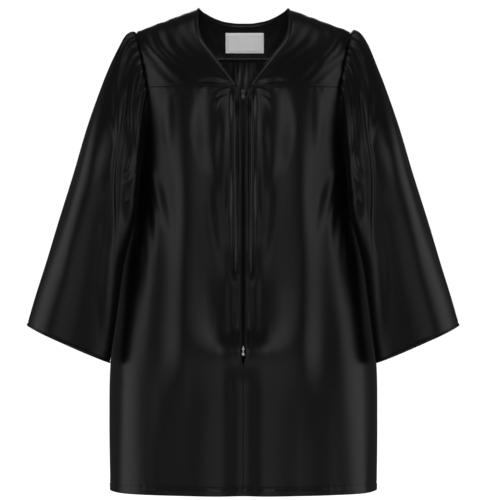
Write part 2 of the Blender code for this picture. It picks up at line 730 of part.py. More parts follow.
def add_pull_tab():
    """A flat tab with two arms and a round bar between them, which turns under the slider's bridge."""
    point, across, up, out = slider_frame(SLIDER_LEVEL)
    frame = (point + out * PIVOT_OUT, across, up, out)
    half = TAB_THICKNESS / 2
    shoulder = -ARM_LENGTH - SHOULDER_DROP
    outline = [(-ARM_OUTER, 0), (-ARM_OUTER, -ARM_LENGTH), (-TAB_HALF_WIDTH, shoulder)]
    end = (0, -TAB_LENGTH + TAB_HALF_WIDTH)
    outline += arc(end, TAB_HALF_WIDTH, 180, 360, 13)
    outline += [(TAB_HALF_WIDTH, shoulder), (ARM_OUTER, -ARM_LENGTH), (ARM_OUTER, 0)]
    outline += [(ARM_INNER, 0), (ARM_INNER, -SLOT_LENGTH), (-ARM_INNER, -SLOT_LENGTH), (-ARM_INNER, 0)]
    vertices, faces = prism(outline, -half, half)
    tab = add_object("zip_pull_tab", framed(frame, vertices), faces, DARK_METAL, origin=frame[0])
    ring = arc((0, 0), PIVOT_RADIUS, 0, 330, 12)
    vertices, faces = prism(ring, -ARM_OUTER + JOINT_INSET, ARM_OUTER - JOINT_INSET)
    turned = [(w, u, v) for u, v, w in vertices]
    bar = add_object("pull_tab_bar", framed(frame, turned), faces, DARK_METAL)
    hole_ring = arc(end, TAB_HOLE_RADIUS, 0, 345, 24)
    hole = add_prism("pull_tab_hole", frame, hole_ring, (-TAB_THICKNESS, TAB_THICKNESS), DARK_METAL)
    join(tab, [bar])
    cut = tab.modifiers.new("hole", "BOOLEAN")
    cut.operation = "DIFFERENCE"
    cut.object = hole
    hole.hide_render = True
    hole.display_type = "WIRE"


def stop_half_width(drop):
    """Half the width of the bottom stop: its point, its upper lobe, its waist or its lower lobe."""
    upper = max(0, STOP_UPPER_RADIUS**2 - (drop - STOP_UPPER_CENTRE) ** 2) ** 0.5
    lower = max(0, STOP_LOWER_RADIUS**2 - (drop - STOP_LOWER_CENTRE) ** 2) ** 0.5
    point = 0
    if drop < STOP_UPPER_CENTRE:
        point = STOP_POINT * STOP_UPPER_RADIUS * (drop - STOP_TOP) / (STOP_UPPER_CENTRE - STOP_TOP)
    waist = STOP_WAIST if STOP_UPPER_CENTRE < drop < STOP_LOWER_CENTRE else 0
    return max(upper, lower, point, waist)


def add_bottom_stop():
    frame = slider_frame(STOP_UPPER_CENTRE)
    foot = STOP_LOWER_CENTRE + STOP_LOWER_RADIUS
    drops = STOP_TOP + (foot - STOP_TOP) * (1 - np.cos(np.linspace(0, math.pi, STOP_STEPS + 2)[1:-1])) / 2
    right = [(stop_half_width(drop), STOP_UPPER_CENTRE - drop) for drop in drops]
    left = [(-x, up) for x, up in right[::-1]]
    add_prism("zip_bottom_stop", frame, right + left, (-STOP_DEPTHS[1], -STOP_DEPTHS[0]), PALE_METAL)


def add_label():
    """A cloth label on the inside of the back yoke, made from the yoke's own form, moved in."""
    x = LABEL_CENTRE + LABEL_WIDTH * np.linspace(-0.5, 0.5, LABEL_COLUMNS)
    rows = [(x, turn_at_level(x, drop, BACK)) for drop in np.linspace(LABEL_TOP, LABEL_FOOT, LABEL_ROWS)]
    depth = CLOTH + LABEL_CLEARANCE
    layers = [yoke_layer(rows, BACK, d) for d in (depth, depth + LABEL_THICKNESS)]
    add_wall("neck_label", *layers, LABEL)


def main():
    for old in list(bpy.data.objects):
        bpy.data.objects.remove(old)
    add_body()
    add_zip_tapes_and_coils()
    add_slider()
    add_pull_tab()
    add_bottom_stop()
    add_label()


main()
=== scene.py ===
# %% [markdown]
# # A child's graduation gown in black satin
#
# The gown is worn but there is no wearer in it: a hollow garment with a V neck, flat yokes over the
# shoulders, a zip down the front, bell sleeves gathered at their heads and a back gathered into its yoke.
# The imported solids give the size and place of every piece. Here each cloth piece is made again as a thin,
# finely divided shell on the same form, with the folds, seams and hems that satin shows.

import math
from collections import namedtuple

import bmesh
import bpy
import mathutils
import numpy as np
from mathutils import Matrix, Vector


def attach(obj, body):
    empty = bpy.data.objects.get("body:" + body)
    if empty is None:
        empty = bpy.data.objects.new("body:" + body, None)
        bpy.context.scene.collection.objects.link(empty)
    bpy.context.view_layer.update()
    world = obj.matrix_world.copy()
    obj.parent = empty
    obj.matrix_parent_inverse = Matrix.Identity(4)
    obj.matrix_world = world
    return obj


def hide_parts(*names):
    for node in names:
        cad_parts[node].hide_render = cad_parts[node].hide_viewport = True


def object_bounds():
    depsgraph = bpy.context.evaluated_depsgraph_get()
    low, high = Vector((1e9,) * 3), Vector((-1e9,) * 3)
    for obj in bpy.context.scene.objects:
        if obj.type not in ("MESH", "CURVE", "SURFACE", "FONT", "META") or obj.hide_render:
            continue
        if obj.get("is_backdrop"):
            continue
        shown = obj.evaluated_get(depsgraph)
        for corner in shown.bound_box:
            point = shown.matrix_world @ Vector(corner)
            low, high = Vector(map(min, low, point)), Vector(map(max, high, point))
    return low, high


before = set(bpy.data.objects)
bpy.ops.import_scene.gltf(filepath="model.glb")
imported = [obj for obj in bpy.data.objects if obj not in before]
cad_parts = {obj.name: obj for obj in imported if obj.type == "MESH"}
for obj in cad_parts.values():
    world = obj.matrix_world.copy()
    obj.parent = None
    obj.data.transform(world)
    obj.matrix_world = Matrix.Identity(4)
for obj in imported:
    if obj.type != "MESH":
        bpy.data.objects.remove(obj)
cad_low, cad_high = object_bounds()

# %% [markdown]
# ## The form under the cloth
#
# The body is a stack of rounded sections. From the chest up they close over a shoulder ridge, as a shirt
# does on a hanger. Every panel is a patch of that one form, so neighbours always meet at their seams. A
# modelled torso with the cloth shrink-wrapped to it would do as well, but a formula keeps the seams exact.

# %% Sizes and sections, in metres; a drop is a distance below the neck points
# Half the gap at a seam is below zero: panels pass their seam line a little, so that no light comes through
FRONT = -1
BACK = 1
HALF_GAP = -0.0002
CAD_CLOTH = 0.0015
HEM = 0.826
FRONT_YOKE_SEAM = 0.139
BACK_YOKE_SEAM = 0.080
UNDERARM = 0.285
RIDGE_TOP = 0.0335
RIDGE_SLOPE = 0.39
RIDGE_ROUND = 0.040
CHEST = {FRONT: 0.230, BACK: 0.200}
ROUNDNESS = 2.5
NECK_HALF_WIDTH = 0.075
NECK_DIP = 0.0384

Section = namedtuple("Section", "drop half_width front_depth back_depth side_back")
BODY = [
    Section(-0.040, 0.216, 0.100, 0.088, 0.000),
    Section(0.040, 0.205, 0.103, 0.092, 0.000),
    Section(0.110, 0.192, 0.106, 0.096, 0.000),
    Section(0.160, 0.185, 0.107, 0.098, 0.000),
    Section(0.230, 0.180, 0.108, 0.100, 0.000),
    Section(0.285, 0.180, 0.109, 0.102, 0.000),
    Section(0.345, 0.188, 0.111, 0.105, 0.014),
    Section(0.430, 0.208, 0.114, 0.108, 0.032),
    Section(0.520, 0.220, 0.118, 0.112, 0.036),
    Section(0.610, 0.230, 0.121, 0.116, 0.030),
    Section(0.700, 0.231, 0.124, 0.119, 0.017),
    Section(0.826, 0.229, 0.127, 0.122, 0.005),
]

Edge = namedtuple("Edge", "drop x")
FRONT_EDGE = [
    Edge(-0.010, 0.0745), Edge(0.000, 0.0750), Edge(0.020, 0.0765), Edge(0.042, 0.0745),
    Edge(0.060, 0.0677), Edge(0.085, 0.0495), Edge(0.110, 0.0310), Edge(0.135, 0.0127),
    Edge(0.148, 0.0080), Edge(0.165, 0.0052), Edge(0.200, 0.0046), Edge(0.575, 0.0046),
    Edge(0.594, 0.0042), Edge(0.608, HALF_GAP), Edge(0.640, HALF_GAP), Edge(0.900, HALF_GAP),
]
FRONT_ARMHOLE = [
    Edge(0.000, 0.190), Edge(0.040, 0.183), Edge(0.075, 0.175), Edge(0.110, 0.168),
    Edge(0.160, 0.1615), Edge(0.210, 0.163), Edge(0.245, 0.1685), Edge(0.265, 0.1735),
    Edge(0.275, 0.1765), Edge(0.281, 0.1785), Edge(0.285, 0.1800),
]
BACK_ARMHOLE = [
    Edge(0.000, 0.190), Edge(0.040, 0.183), Edge(0.080, 0.174), Edge(0.120, 0.168),
    Edge(0.160, 0.166), Edge(0.210, 0.167), Edge(0.245, 0.1705), Edge(0.265, 0.1745),
    Edge(0.275, 0.1768), Edge(0.281, 0.1786), Edge(0.285, 0.1800),
]
ARMHOLE = {FRONT: FRONT_ARMHOLE, BACK: BACK_ARMHOLE}
print("sections", len(BODY), "edge points", len(FRONT_EDGE) + len(FRONT_ARMHOLE) + len(BACK_ARMHOLE))


# %% Read a table on one smooth curve
def read(table, column, at):
    keys = np.array([row[0] for row in table])
    values = np.array([getattr(row, column) for row in table])
    slopes = np.gradient(values, keys)
    index = np.clip(np.searchsorted(keys, at) - 1, 0, len(keys) - 2)
    span = keys[index + 1] - keys[index]
    t = np.clip((at - keys[index]) / span, 0, 1)
    rise = values[index + 1] - values[index]
    bend = (1 - t) * (slopes[index] * span - rise) + t * (rise - slopes[index + 1] * span)
    return values[index] + t * rise + t * (1 - t) * bend


def smooth_step(t):
    t = np.clip(t, 0, 1)
    return t * t * (3 - 2 * t)


def nearest(values, target):
    return int(np.argmin(np.abs(values - target)))


def bell(distance):
    """The cross-section of a fold: 1 at its middle, falling to 0 at a distance of 1 and beyond."""
    return np.cos(np.clip(distance, 0, 1) * math.pi / 2) ** 2


def unit(vectors):
    return vectors / np.maximum(np.linalg.norm(vectors, axis=-1, keepdims=True), 1e-12)


def distance_along(line):
    """How far each point of a line lies from its first."""
    return np.concatenate([[0], np.cumsum(np.linalg.norm(np.diff(line, axis=0), axis=1))])


print("half width at the chest", round(float(read(BODY, "half_width", 0.25)), 4))


# %% The form as a map from (across the cloth, drop) to a point
LEVELS = np.arange(0.060, 0.8302, 0.001)
ACROSS = np.linspace(0, 0.32, 801)


def ridge_height(x):
    return RIDGE_TOP - RIDGE_SLOPE * np.sqrt(np.square(x) + RIDGE_ROUND**2)


def section_depth(drop, face):
    return read(BODY, "front_depth" if face == FRONT else "back_depth", drop)


def section_line(drop, face):
    """One level from its centre to its side: x, y and the distance along the cloth."""
    turn = np.linspace(0, math.pi / 2, 721)
    x = read(BODY, "half_width", drop) * np.sin(turn) ** (2 / ROUNDNESS)
    share = np.cos(turn) ** (2 / ROUNDNESS)
    climb = np.clip((CHEST[face] - drop) / (CHEST[face] + ridge_height(x)), 0, 1)
    side_back = read(BODY, "side_back", drop)
    y = side_back + face * (section_depth(drop, face) - face * side_back) * share * np.sqrt(1 - climb**2)
    along = np.concatenate([[0], np.cumsum(np.hypot(np.diff(x), np.diff(y)))])
    return x, y, along


def form_map(face):
    maps = np.empty((2, len(LEVELS), len(ACROSS)))
    for i, drop in enumerate(LEVELS):
        x, y, along = section_line(drop, face)
        maps[0, i] = np.interp(ACROSS, along, x)
        maps[1, i] = np.interp(ACROSS, along, y)
    return maps


FORM = {face: form_map(face) for face in (FRONT, BACK)}


def place(across, drop, face):
    """Points of the body form at distances across and drops, arrays of one shape."""
    a = np.clip(np.abs(across) / (ACROSS[1] - ACROSS[0]), 0, len(ACROSS) - 1.001)
    d = np.clip((drop - LEVELS[0]) / (LEVELS[1] - LEVELS[0]), 0, len(LEVELS) - 1.001)
    i, j = d.astype(int), a.astype(int)
    s, t = d - i, a - j
    x, y = (
        (1 - s) * ((1 - t) * m[i, j] + t * m[i, j + 1]) + s * ((1 - t) * m[i + 1, j] + t * m[i + 1, j + 1])
        for m in FORM[face]
    )
    return np.stack([np.copysign(x, across), y, -drop], -1)


print("form maps", FORM[FRONT].shape, FORM[BACK].shape)


# %% [markdown]
# ## Rows of a panel
#
# A panel's grid runs level at the hem but its rows bend down towards the armhole, so that they meet the
# curved edge at even steps. Straight rows would crowd together at the underarm and leave a ledge there.

# %% Rows that bend from the centre to the side
Row = namedtuple("Row", "centre side")
SKIRT_ROWS = [
    Row(0.346, UNDERARM), Row(0.382, 0.325), Row(0.425, 0.375), Row(0.475, 0.430), Row(0.530, 0.490),
    Row(0.575, 0.545), Row(0.594, 0.580), Row(0.608, 0.605), Row(0.655, 0.655), Row(0.710, 0.710),
    Row(0.770, 0.770), Row(HEM, HEM),
]
LAST_ARMHOLE_CENTRE = {FRONT: 0.322, BACK: 0.320}
EDGE_STEPS = np.array([0, 0.0003, 0.0007, 0.0012, 0.0018, 0.0026, 0.0036, 0.0048, 0.0062, 0.0078, 0.0096])


def reach_at(drop, table, face):
    """How far across the cloth a cut edge lies, or the side seam under the armhole."""
    x, _, along = section_line(drop, face)
    if table is not FRONT_EDGE and drop >= UNDERARM:
        return along[-1] - HALF_GAP
    return float(np.interp(read(table, "x", drop), x, along))


def armhole_drops(seam, shares, face):
    """Drops at shares of the armhole's edge, from a yoke seam down to the underarm."""
    drops = seam + (UNDERARM - seam) * np.sin(np.linspace(0, math.pi / 2, 400))
    reach = np.array([reach_at(drop, ARMHOLE[face], face) for drop in drops])
    edge = place(reach, drops, face)
    along = distance_along(edge)
    return np.interp(np.asarray(shares) * along[-1], along, drops)


def edge_spaced(length, step, both=True):
    """Distances from 0 to a length, close together at the edges where the cloth rolls under."""
    stop = length - EDGE_STEPS[-1] if both else length
    middle = np.linspace(EDGE_STEPS[-1], stop, max(3, int(round((stop - EDGE_STEPS[-1]) / step))))[1:]
    ends = (length - EDGE_STEPS[::-1])[1:] if both else []
    return np.concatenate([EDGE_STEPS, middle, ends])


def edge_shares(length, step, both=True):
    """The same distances as shares of the length."""
    return edge_spaced(length, step, both) / length


def both_ways(half):
    """Shares from -1 to 1, out of those from 0 to 1 that start close together at the edge."""
    return np.concatenate([half - 1, (1 - half[::-1])[1:]])


def panel_levels(seam, face, step):
    """Centre and side drops of every fine row."""
    top = seam + HALF_GAP
    knots = np.linspace(0, 1, 10)
    beside_armhole = top + (LAST_ARMHOLE_CENTRE[face] - top) * knots
    centres = np.concatenate([beside_armhole, [row.centre for row in SKIRT_ROWS]])
    shares = np.concatenate([knots * 0.9, [1]])
    sides = np.concatenate([armhole_drops(top, shares, face), [row.side for row in SKIRT_ROWS[1:]]])
    fine = top + edge_spaced(HEM - top, step)
    return fine, np.interp(fine, centres, sides)


front_levels = panel_levels(FRONT_YOKE_SEAM, FRONT, 0.0028)
back_levels = panel_levels(BACK_YOKE_SEAM, BACK, 0.0033)
print("rows: front", len(front_levels[0]), "back", len(back_levels[0]))


# %% The front and back grids: across the cloth and drop of every point
def front_grid():
    centre, side = front_levels
    inner = np.array([reach_at(d, FRONT_EDGE, FRONT) for d in centre])
    outer = np.array([reach_at(d, FRONT_ARMHOLE, FRONT) for d in side])
    shares = edge_shares(0.25, 0.0026)
    across = inner[:, None] + (outer - inner)[:, None] * shares
    return across, centre[:, None] + (side - centre)[:, None] * shares


def back_grid():
    centre, side = back_levels
    outer = np.array([reach_at(d, BACK_ARMHOLE, BACK) for d in side])
    shares = both_ways(edge_shares(0.26, 0.0029, both=False))
    return outer[:, None] * shares, centre[:, None] + (side - centre)[:, None] * np.abs(shares)


front_across, front_drop = front_grid()
back_across, back_drop = back_grid()
front_base = place(front_across, front_drop, FRONT)
back_base = place(back_across, back_drop, BACK)
print("front grid", front_base.shape, "back grid", back_base.shape)


# %% [markdown]
# ## The yokes
#
# A yoke is the flat piece that carries the garment on the shoulders. Its rows run from the seam below up to
# the shoulder ridge, and the back one ends in the dipped neck edge.

# %% Yoke grids
PROBE = 0.0005


def yoke_place(x, turn, face):
    height = ridge_height(x)
    z = -CHEST[face] + (height + CHEST[face]) * np.sin(turn)
    share = 1 - (np.abs(x) / read(BODY, "half_width", -z)) ** ROUNDNESS
    y = face * section_depth(-z, face) * np.clip(share, 0, 1) ** (1 / ROUNDNESS) * np.cos(turn)
    return np.stack([x + 0 * z, y, z], -1)


def turn_at_level(x, drop, face):
    return np.arcsin(np.clip((CHEST[face] - drop) / (CHEST[face] + ridge_height(x)), -1, 1))


def turn_at_ridge(x, face):
    reach = np.abs(yoke_place(x, np.full_like(x, math.pi / 2 - PROBE), face)[..., 1]) / PROBE
    return math.pi / 2 - HALF_GAP / reach


def turn_at_neck(x):
    dip = NECK_DIP * np.clip(1 - (x / NECK_HALF_WIDTH) ** 2, 0, 1)
    at_edge = np.arcsin(1 - dip / (ridge_height(x) + CHEST[BACK]))
    return np.minimum(at_edge, turn_at_ridge(x, BACK))


def edge_on_row(row_turn, table, face):
    x = np.array([table[0].x])
    for _ in range(60):
        x = 0.5 * x + 0.5 * read(table, "x", -yoke_place(x, row_turn(x), face)[..., 2])
    return float(x[0])


def yoke_rows(face):
    """x and turn of every point of a yoke, and its distances from the two side edges in shares."""
    seam = FRONT_YOKE_SEAM if face == FRONT else BACK_YOKE_SEAM
    top_turn = (lambda x: turn_at_ridge(x, FRONT)) if face == FRONT else turn_at_neck
    xs, turns = [], []
    for share in edge_shares(0.15, 0.0026):

        def row_turn(x, share=share):
            low = turn_at_level(x, seam - HALF_GAP, face)
            return low + (top_turn(x) - low) * share

        outer = edge_on_row(row_turn, ARMHOLE[face], face)
        if face == FRONT:
            neck = edge_on_row(row_turn, FRONT_EDGE, FRONT)
            x = neck + (outer - neck) * edge_spaced(0.12, 0.0026) / 0.12
        else:
            x = outer * both_ways(edge_shares(0.18, 0.0026, both=False))
        xs.append(x)
        turns.append(row_turn(x))
    return np.array(xs), np.array(turns)


front_yoke_base = yoke_place(*yoke_rows(FRONT), FRONT)
back_yoke_base = yoke_place(*yoke_rows(BACK), BACK)
print("front yoke grid", front_yoke_base.shape, "back yoke grid", back_yoke_base.shape)


# %% [markdown]
# ## The sleeves
#
# A sleeve is a tube between an outer line and an under line. Its first ring is the armhole's own edge, taken
# from the finished grids, and that shape fades out over the first third of its length.

# %% Sleeve table and rings
Ring = namedtuple("Ring", "along top_x top_drop under_x under_drop forward half_depth")
SLEEVE = [
    Ring(0.00, 0.1830, 0.0396, 0.1800, 0.285, 0.000, 0.060),
    Ring(0.03, 0.1980, 0.0450, 0.1825, 0.295, 0.003, 0.061),
    Ring(0.06, 0.2085, 0.0585, 0.1837, 0.305, 0.010, 0.062),
    Ring(0.11, 0.2210, 0.0825, 0.1848, 0.321, 0.020, 0.063),
    Ring(0.17, 0.2335, 0.1130, 0.1866, 0.341, 0.031, 0.064),
    Ring(0.25, 0.2480, 0.1540, 0.1895, 0.367, 0.042, 0.065),
    Ring(0.35, 0.2655, 0.2060, 0.1945, 0.399, 0.049, 0.066),
    Ring(0.50, 0.2885, 0.2840, 0.2035, 0.447, 0.052, 0.065),
    Ring(0.65, 0.3125, 0.3620, 0.2105, 0.495, 0.053, 0.063),
    Ring(0.80, 0.3355, 0.4400, 0.2170, 0.543, 0.053, 0.061),
    Ring(0.92, 0.3545, 0.5010, 0.2225, 0.581, 0.053, 0.059),
    Ring(1.00, 0.3665, 0.5430, 0.2260, 0.607, 0.053, 0.058),
]
SLEEVE_PINCH = 0.40
ARMHOLE_BLEND = 0.35
SLEEVE_LENGTH = 0.53
SLEEVE_COLUMNS = 170


def sleeve_ring(along, angle):
    top = np.array([read(SLEEVE, "top_x", along), 0, -read(SLEEVE, "top_drop", along)])
    under = np.array([read(SLEEVE, "under_x", along), 0, -read(SLEEVE, "under_drop", along)])
    pinch = 1 - SLEEVE_PINCH * ((1 - np.cos(angle)) / 2) ** 2
    ring = (top + under) / 2 + np.cos(angle)[:, None] * (top - under) / 2
    ring[:, 1] = -read(SLEEVE, "forward", along) - read(SLEEVE, "half_depth", along) * np.sin(angle) * pinch
    return ring


sleeve_angle = np.arange(SLEEVE_COLUMNS) / SLEEVE_COLUMNS * math.tau
sleeve_along = edge_shares(SLEEVE_LENGTH, 0.0027)
print("sleeve grid", len(sleeve_along), "rings of", SLEEVE_COLUMNS)


# %% [markdown]
# ## Folds
#
# Satin hangs in a few broad folds with small creases between them. Each fold is a soft ridge or trough along
# a line on the cloth, and a whole panel's folds add up to one height for every point, pushed out along the
# cloth's own outward direction. A cloth simulation would drape by itself, but it wouldn't put the folds
# where this gown has them.

# %% Helpers for folds
Fold = namedtuple("Fold", "across_top across_foot half_width rise top foot")
Crease = namedtuple("Crease", "path half_width rise")


def fold_rise(folds, across, along, fade):
    """Straight folds: a place across at the top and at the foot, and where along they start and end."""
    total = np.zeros(np.broadcast(across, along).shape)
    for fold in folds:
        share = np.clip((along - fold.top) / (fold.foot - fold.top), 0, 1)
        middle = fold.across_top + (fold.across_foot - fold.across_top) * share
        strength = smooth_step((along - fold.top) / fade) * smooth_step((fold.foot - along) / fade)
        total += fold.rise * strength * bell(np.abs(across - middle) / fold.half_width)
    return total


def softened(path, count=26):
    """A crease's few given points as a smooth line of many."""
    path = np.array(path, float) / 1000
    steps = distance_along(path)
    even = np.linspace(0, steps[-1], count)
    line = np.stack([np.interp(even, steps, path[:, k]) for k in range(2)], -1)
    for _ in range(6):
        line[1:-1] = 0.25 * line[:-2] + 0.5 * line[1:-1] + 0.25 * line[2:]
    return line


def crease_rise(creases, a, b):
    """Creases along curved lines, given in millimetres in the plane of the coordinates a and b."""
    total = np.zeros(a.shape)
    for crease in creases:
        line, width = softened(crease.path), crease.half_width / 1000
        low, high = line.min(0) - width, line.max(0) + width
        near = (a > low[0]) & (a < high[0]) & (b > low[1]) & (b < high[1])
        if not near.any():
            continue
        point = np.stack([a[near], b[near]], -1)
        best = np.full(len(point), 1e9)
        share = np.zeros(len(point))
        for k in range(len(line) - 1):
            step = line[k + 1] - line[k]
            t = np.clip((point - line[k]) @ step / max(step @ step, 1e-12), 0, 1)
            distance = np.linalg.norm(point - line[k] - t[:, None] * step, axis=1)
            closer = distance < best
            best[closer] = distance[closer]
            share[closer] = ((k + t) / (len(line) - 1))[closer]
        taper = np.sin(np.clip(share, 0, 1) * math.pi) ** 1.25
        reach = width * (0.6 + 0.4 * taper)
        total[near] += crease.rise / 1000 * taper * bell(best / reach)
    return total


def front_view_rise(creases, points):
    """Creases given in millimetres as seen from the front: out from the middle, and down."""
    return crease_rise(creases, np.abs(points[..., 0]), -points[..., 2])


def ripple(a, b, seed, size_a, size_b, count=9):
    """A gentle unevenness, about -1 to 1, that is long one way and short the other."""
    chance = np.random.default_rng(seed)
    total = np.zeros(np.broadcast(a, b).shape)
    for _ in range(count):
        ka, kb = chance.uniform(0.6, 1.5) / size_a, chance.uniform(-1.3, 1.3) / size_b
        total += np.sin(math.tau * (ka * a + kb * b + chance.uniform()))
    return total / math.sqrt(count * 2)


print("fold helpers ready; ripple spans", ripple(np.linspace(0, 1, 99), 0.0, 1, 0.1, 0.1).round(1).min())


# %% [markdown]
# ## Edges
#
# A seam is where two pieces dive inwards together, so the cloth rolls under at it. At the hem, the cuffs and
# the neck the cloth is turned back and sewn, which makes a flat double band with a stitched groove above it.

# %% Helpers for seams, turned bands and gathers
SEAM_ROLL = 0.0011
BAND_RISE = 0.0006


def roll(distance, radius=SEAM_ROLL):
    """How far cloth sinks within a radius of its edge, as a quarter circle."""
    inside = np.clip(radius - distance, 0, radius)
    return np.sqrt(np.maximum(radius**2 - inside**2, 0)) - radius


def turned_band(distance, width, along, seed, pucker=0.00035):
    """A double band of a width from an edge, the groove of its stitches, and their puckers."""
    band = BAND_RISE * smooth_step((width - distance) / 0.0012)
    groove = -0.0008 * np.exp(-(((distance - width) / 0.0014) ** 2))
    pull = np.exp(-(((distance - width) / 0.0060) ** 2)) * ripple(along, distance, seed, 0.011, 0.040)
    return band + groove + pucker * pull + roll(distance, 0.0009)


def gathers(across, below, seed, low, high, step, rise, length):
    """Fine ridges that start at a seam and run out below it, each of its own height and length."""
    chance = np.random.default_rng(seed)
    total = np.zeros(np.broadcast(across, below).shape)
    at = low
    while at < high:
        width = step * chance.uniform(0.42, 0.62)
        reach = length * chance.uniform(0.45, 1.15)
        drift = chance.uniform(-0.08, 0.08)
        height = rise * chance.uniform(0.55, 1.2)
        middle = at + drift * below
        fade = smooth_step(below / 0.006) * smooth_step(1 - below / reach)
        spread = width * (1 + 0.9 * np.clip(below / reach, 0, 1))
        total += height * fade * bell(np.abs(across - middle) / spread)
        at += step * chance.uniform(0.75, 1.25)
    return total


print("roll at a seam's edge, mm", float(roll(np.array(0.0)) * 1000))


# %% [markdown]
# ## From a grid of points to a piece of cloth
#
# A piece is a grid of quads with its own flat coordinates in metres as its UV map, which the weave follows.
# A Solidify modifier gives it a real thickness and puts the dull wrong side of the satin on the inside.

# %% Make a cloth piece
# The ways out say roughly where the right side of each panel faces
CLOTH = 0.0008
FRONT_OUT = np.array([0.3, -1, 0])
BACK_OUT = np.array([0, 1, 0])
FRONT_YOKE_OUT = np.array([0, -1, 0.5])
BACK_YOKE_OUT = np.array([0, 1, 0.5])
STRAIGHT_OUT = np.array([0, -1, 0])


def linked(name, data):
    """A new object in the scene with this mesh, lamp or camera."""
    made = bpy.data.objects.new(name, data)
    bpy.context.scene.collection.objects.link(made)
    return made


def grid_normals(points, closed=False):
    if closed:
        around = np.roll(points, -1, axis=1) - np.roll(points, 1, axis=1)
    else:
        around = np.gradient(points, axis=1)
    return unit(np.cross(around, np.gradient(points, axis=0)))


def facing(points, normals, outward):
    """Turns all of a grid's normals round if they point against the given outward sense."""
    return normals * np.sign((normals * outward).sum() or 1)


def mesh_of(name, points, flat, closed, flip):
    rows, columns = points.shape[:2]
    j = np.arange(columns if closed else columns - 1)
    first = (np.arange(rows - 1) * columns)[:, None] + j
    second = (np.arange(rows - 1) * columns)[:, None] + (j + 1) % columns
    quads = np.stack([first, second, second + columns, first + columns], -1).reshape(-1, 4)
    corners = np.stack([flat[:-1, j], flat[:-1, j + 1], flat[1:, j + 1], flat[1:, j]], -2).reshape(-1, 4, 2)
    if flip:
        quads, corners = quads[:, ::-1], corners[:, ::-1]
    mesh = bpy.data.meshes.new(name)
    mesh.from_pydata(points.reshape(-1, 3).tolist(), [], quads.tolist())
    mesh.uv_layers.new(name="cut").data.foreach_set("uv", corners.reshape(-1).astype(np.float32))
    mesh.shade_smooth()
    return mesh


def cloth(
    name, points, flat, node, outward,
    closed=False, mirror=False, thickness=CLOTH, sides=None,
):
    """Adds a piece of cloth that stands for a CAD node; mirror makes the wearer's right one."""
    if mirror:
        points, outward = points * [-1, 1, 1], outward * [-1, 1, 1]
    normals = grid_normals(points, closed)
    flip = (normals * outward).sum() < 0
    mesh = mesh_of(name, points, flat, closed, flip)
    piece = linked(name, mesh)
    for finish in sides or (SATIN, SATIN_INSIDE):
        mesh.materials.append(finish)
    wall = piece.modifiers.new("thickness", "SOLIDIFY")
    wall.thickness = thickness
    wall.offset = -1
    wall.material_offset = 1
    wall.use_even_offset = False
    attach(piece, "gown")
    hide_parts(node)
    print(name, len(mesh.vertices), "points")
    return piece


# %% [markdown]
# ## Materials
#
# Shader maths is written as expressions: a wrapped socket knows how to add, subtract and multiply, and each
# operator adds the Math node that does it.

# %% A socket that can be calculated with, and a material that makes nodes
class Signal:
    """The output of a shader node, for use in expressions."""

    def __init__(self, finish, socket):
        self.finish = finish
        self.socket = socket

    def __add__(self, other):
        return self.finish.node("ShaderNodeMath", {"operation": "ADD"}, {0: self, 1: other})

    __radd__ = __add__

    def __sub__(self, other):
        return self.finish.node("ShaderNodeMath", {"operation": "SUBTRACT"}, {0: self, 1: other})

    def __rsub__(self, other):
        return self.finish.node("ShaderNodeMath", {"operation": "SUBTRACT"}, {0: other, 1: self})

    def __mul__(self, other):
        return self.finish.node("ShaderNodeMath", {"operation": "MULTIPLY"}, {0: self, 1: other})

    __rmul__ = __mul__


class Finish:
    """A material with one Principled shader and a short way to add any node."""

    def __init__(self, name, **settings):
        self.material = bpy.data.materials.new(name)
        self.material.use_nodes = True
        self.tree = self.material.node_tree
        self.shader = self.tree.nodes["Principled BSDF"]
        for socket, value in settings.items():
            self.shader.inputs[socket.replace("_", " ").title()].default_value = value

    def node(self, kind, settings, sockets, output=0):
        made = self.tree.nodes.new(kind)
        for key, value in settings.items():
            setattr(made, key, value)
        for key, value in sockets.items():
            if isinstance(value, Signal):
                self.tree.links.new(value.socket, made.inputs[key])
            else:
                made.inputs[key].default_value = value
        return Signal(self, made.outputs[output])

    def feed(self, socket, value):
        self.tree.links.new(value.socket, self.shader.inputs[socket])

    def cut(self, across=1.0, down=1.0):
        """The cloth's own flat coordinates, scaled."""
        uv = self.node("ShaderNodeUVMap", {"uv_map": "cut"}, {})
        return self.node("ShaderNodeVectorMath", {"operation": "MULTIPLY"}, {0: uv, 1: (across, down, 1)})

    def place(self):
        return self.node("ShaderNodeTexCoord", {}, {}, "Object")

    def noise(self, vector, scale, detail=2.0):
        sockets = {"Vector": vector, "Scale": scale, "Detail": detail}
        return self.node("ShaderNodeTexNoise", {}, sockets, "Fac")

    def wave(self, vector, scale, direction="X", distortion=0.0):
        settings = {"wave_type": "BANDS", "bands_direction": direction}
        sockets = {"Vector": vector, "Scale": scale, "Distortion": distortion, "Detail": 0.0}
        return self.node("ShaderNodeTexWave", settings, sockets, "Fac")

    def mix(self, factor, first, second):
        """A colour between two, by a factor over the surface."""
        return self.node("ShaderNodeMix", {"data_type": "RGBA"}, {0: factor, 6: first, 7: second}, 2)

    def bump(self, height, distance, strength=1.0):
        sockets = {"Height": height, "Distance": distance, "Strength": strength}
        self.feed("Normal", self.node("ShaderNodeBump", {}, sockets))


print("expressions and nodes ready")


# %% [markdown]
# ### Satin
#
# Satin floats its warp threads over many wefts, so its right side is smooth and shines in soft, broad
# lights, while its wrong side is duller. The black isn't flat: fine vertical lines from the floats, a slight
# mottle in the gloss, and a faint unevenness that breaks up the reflections.

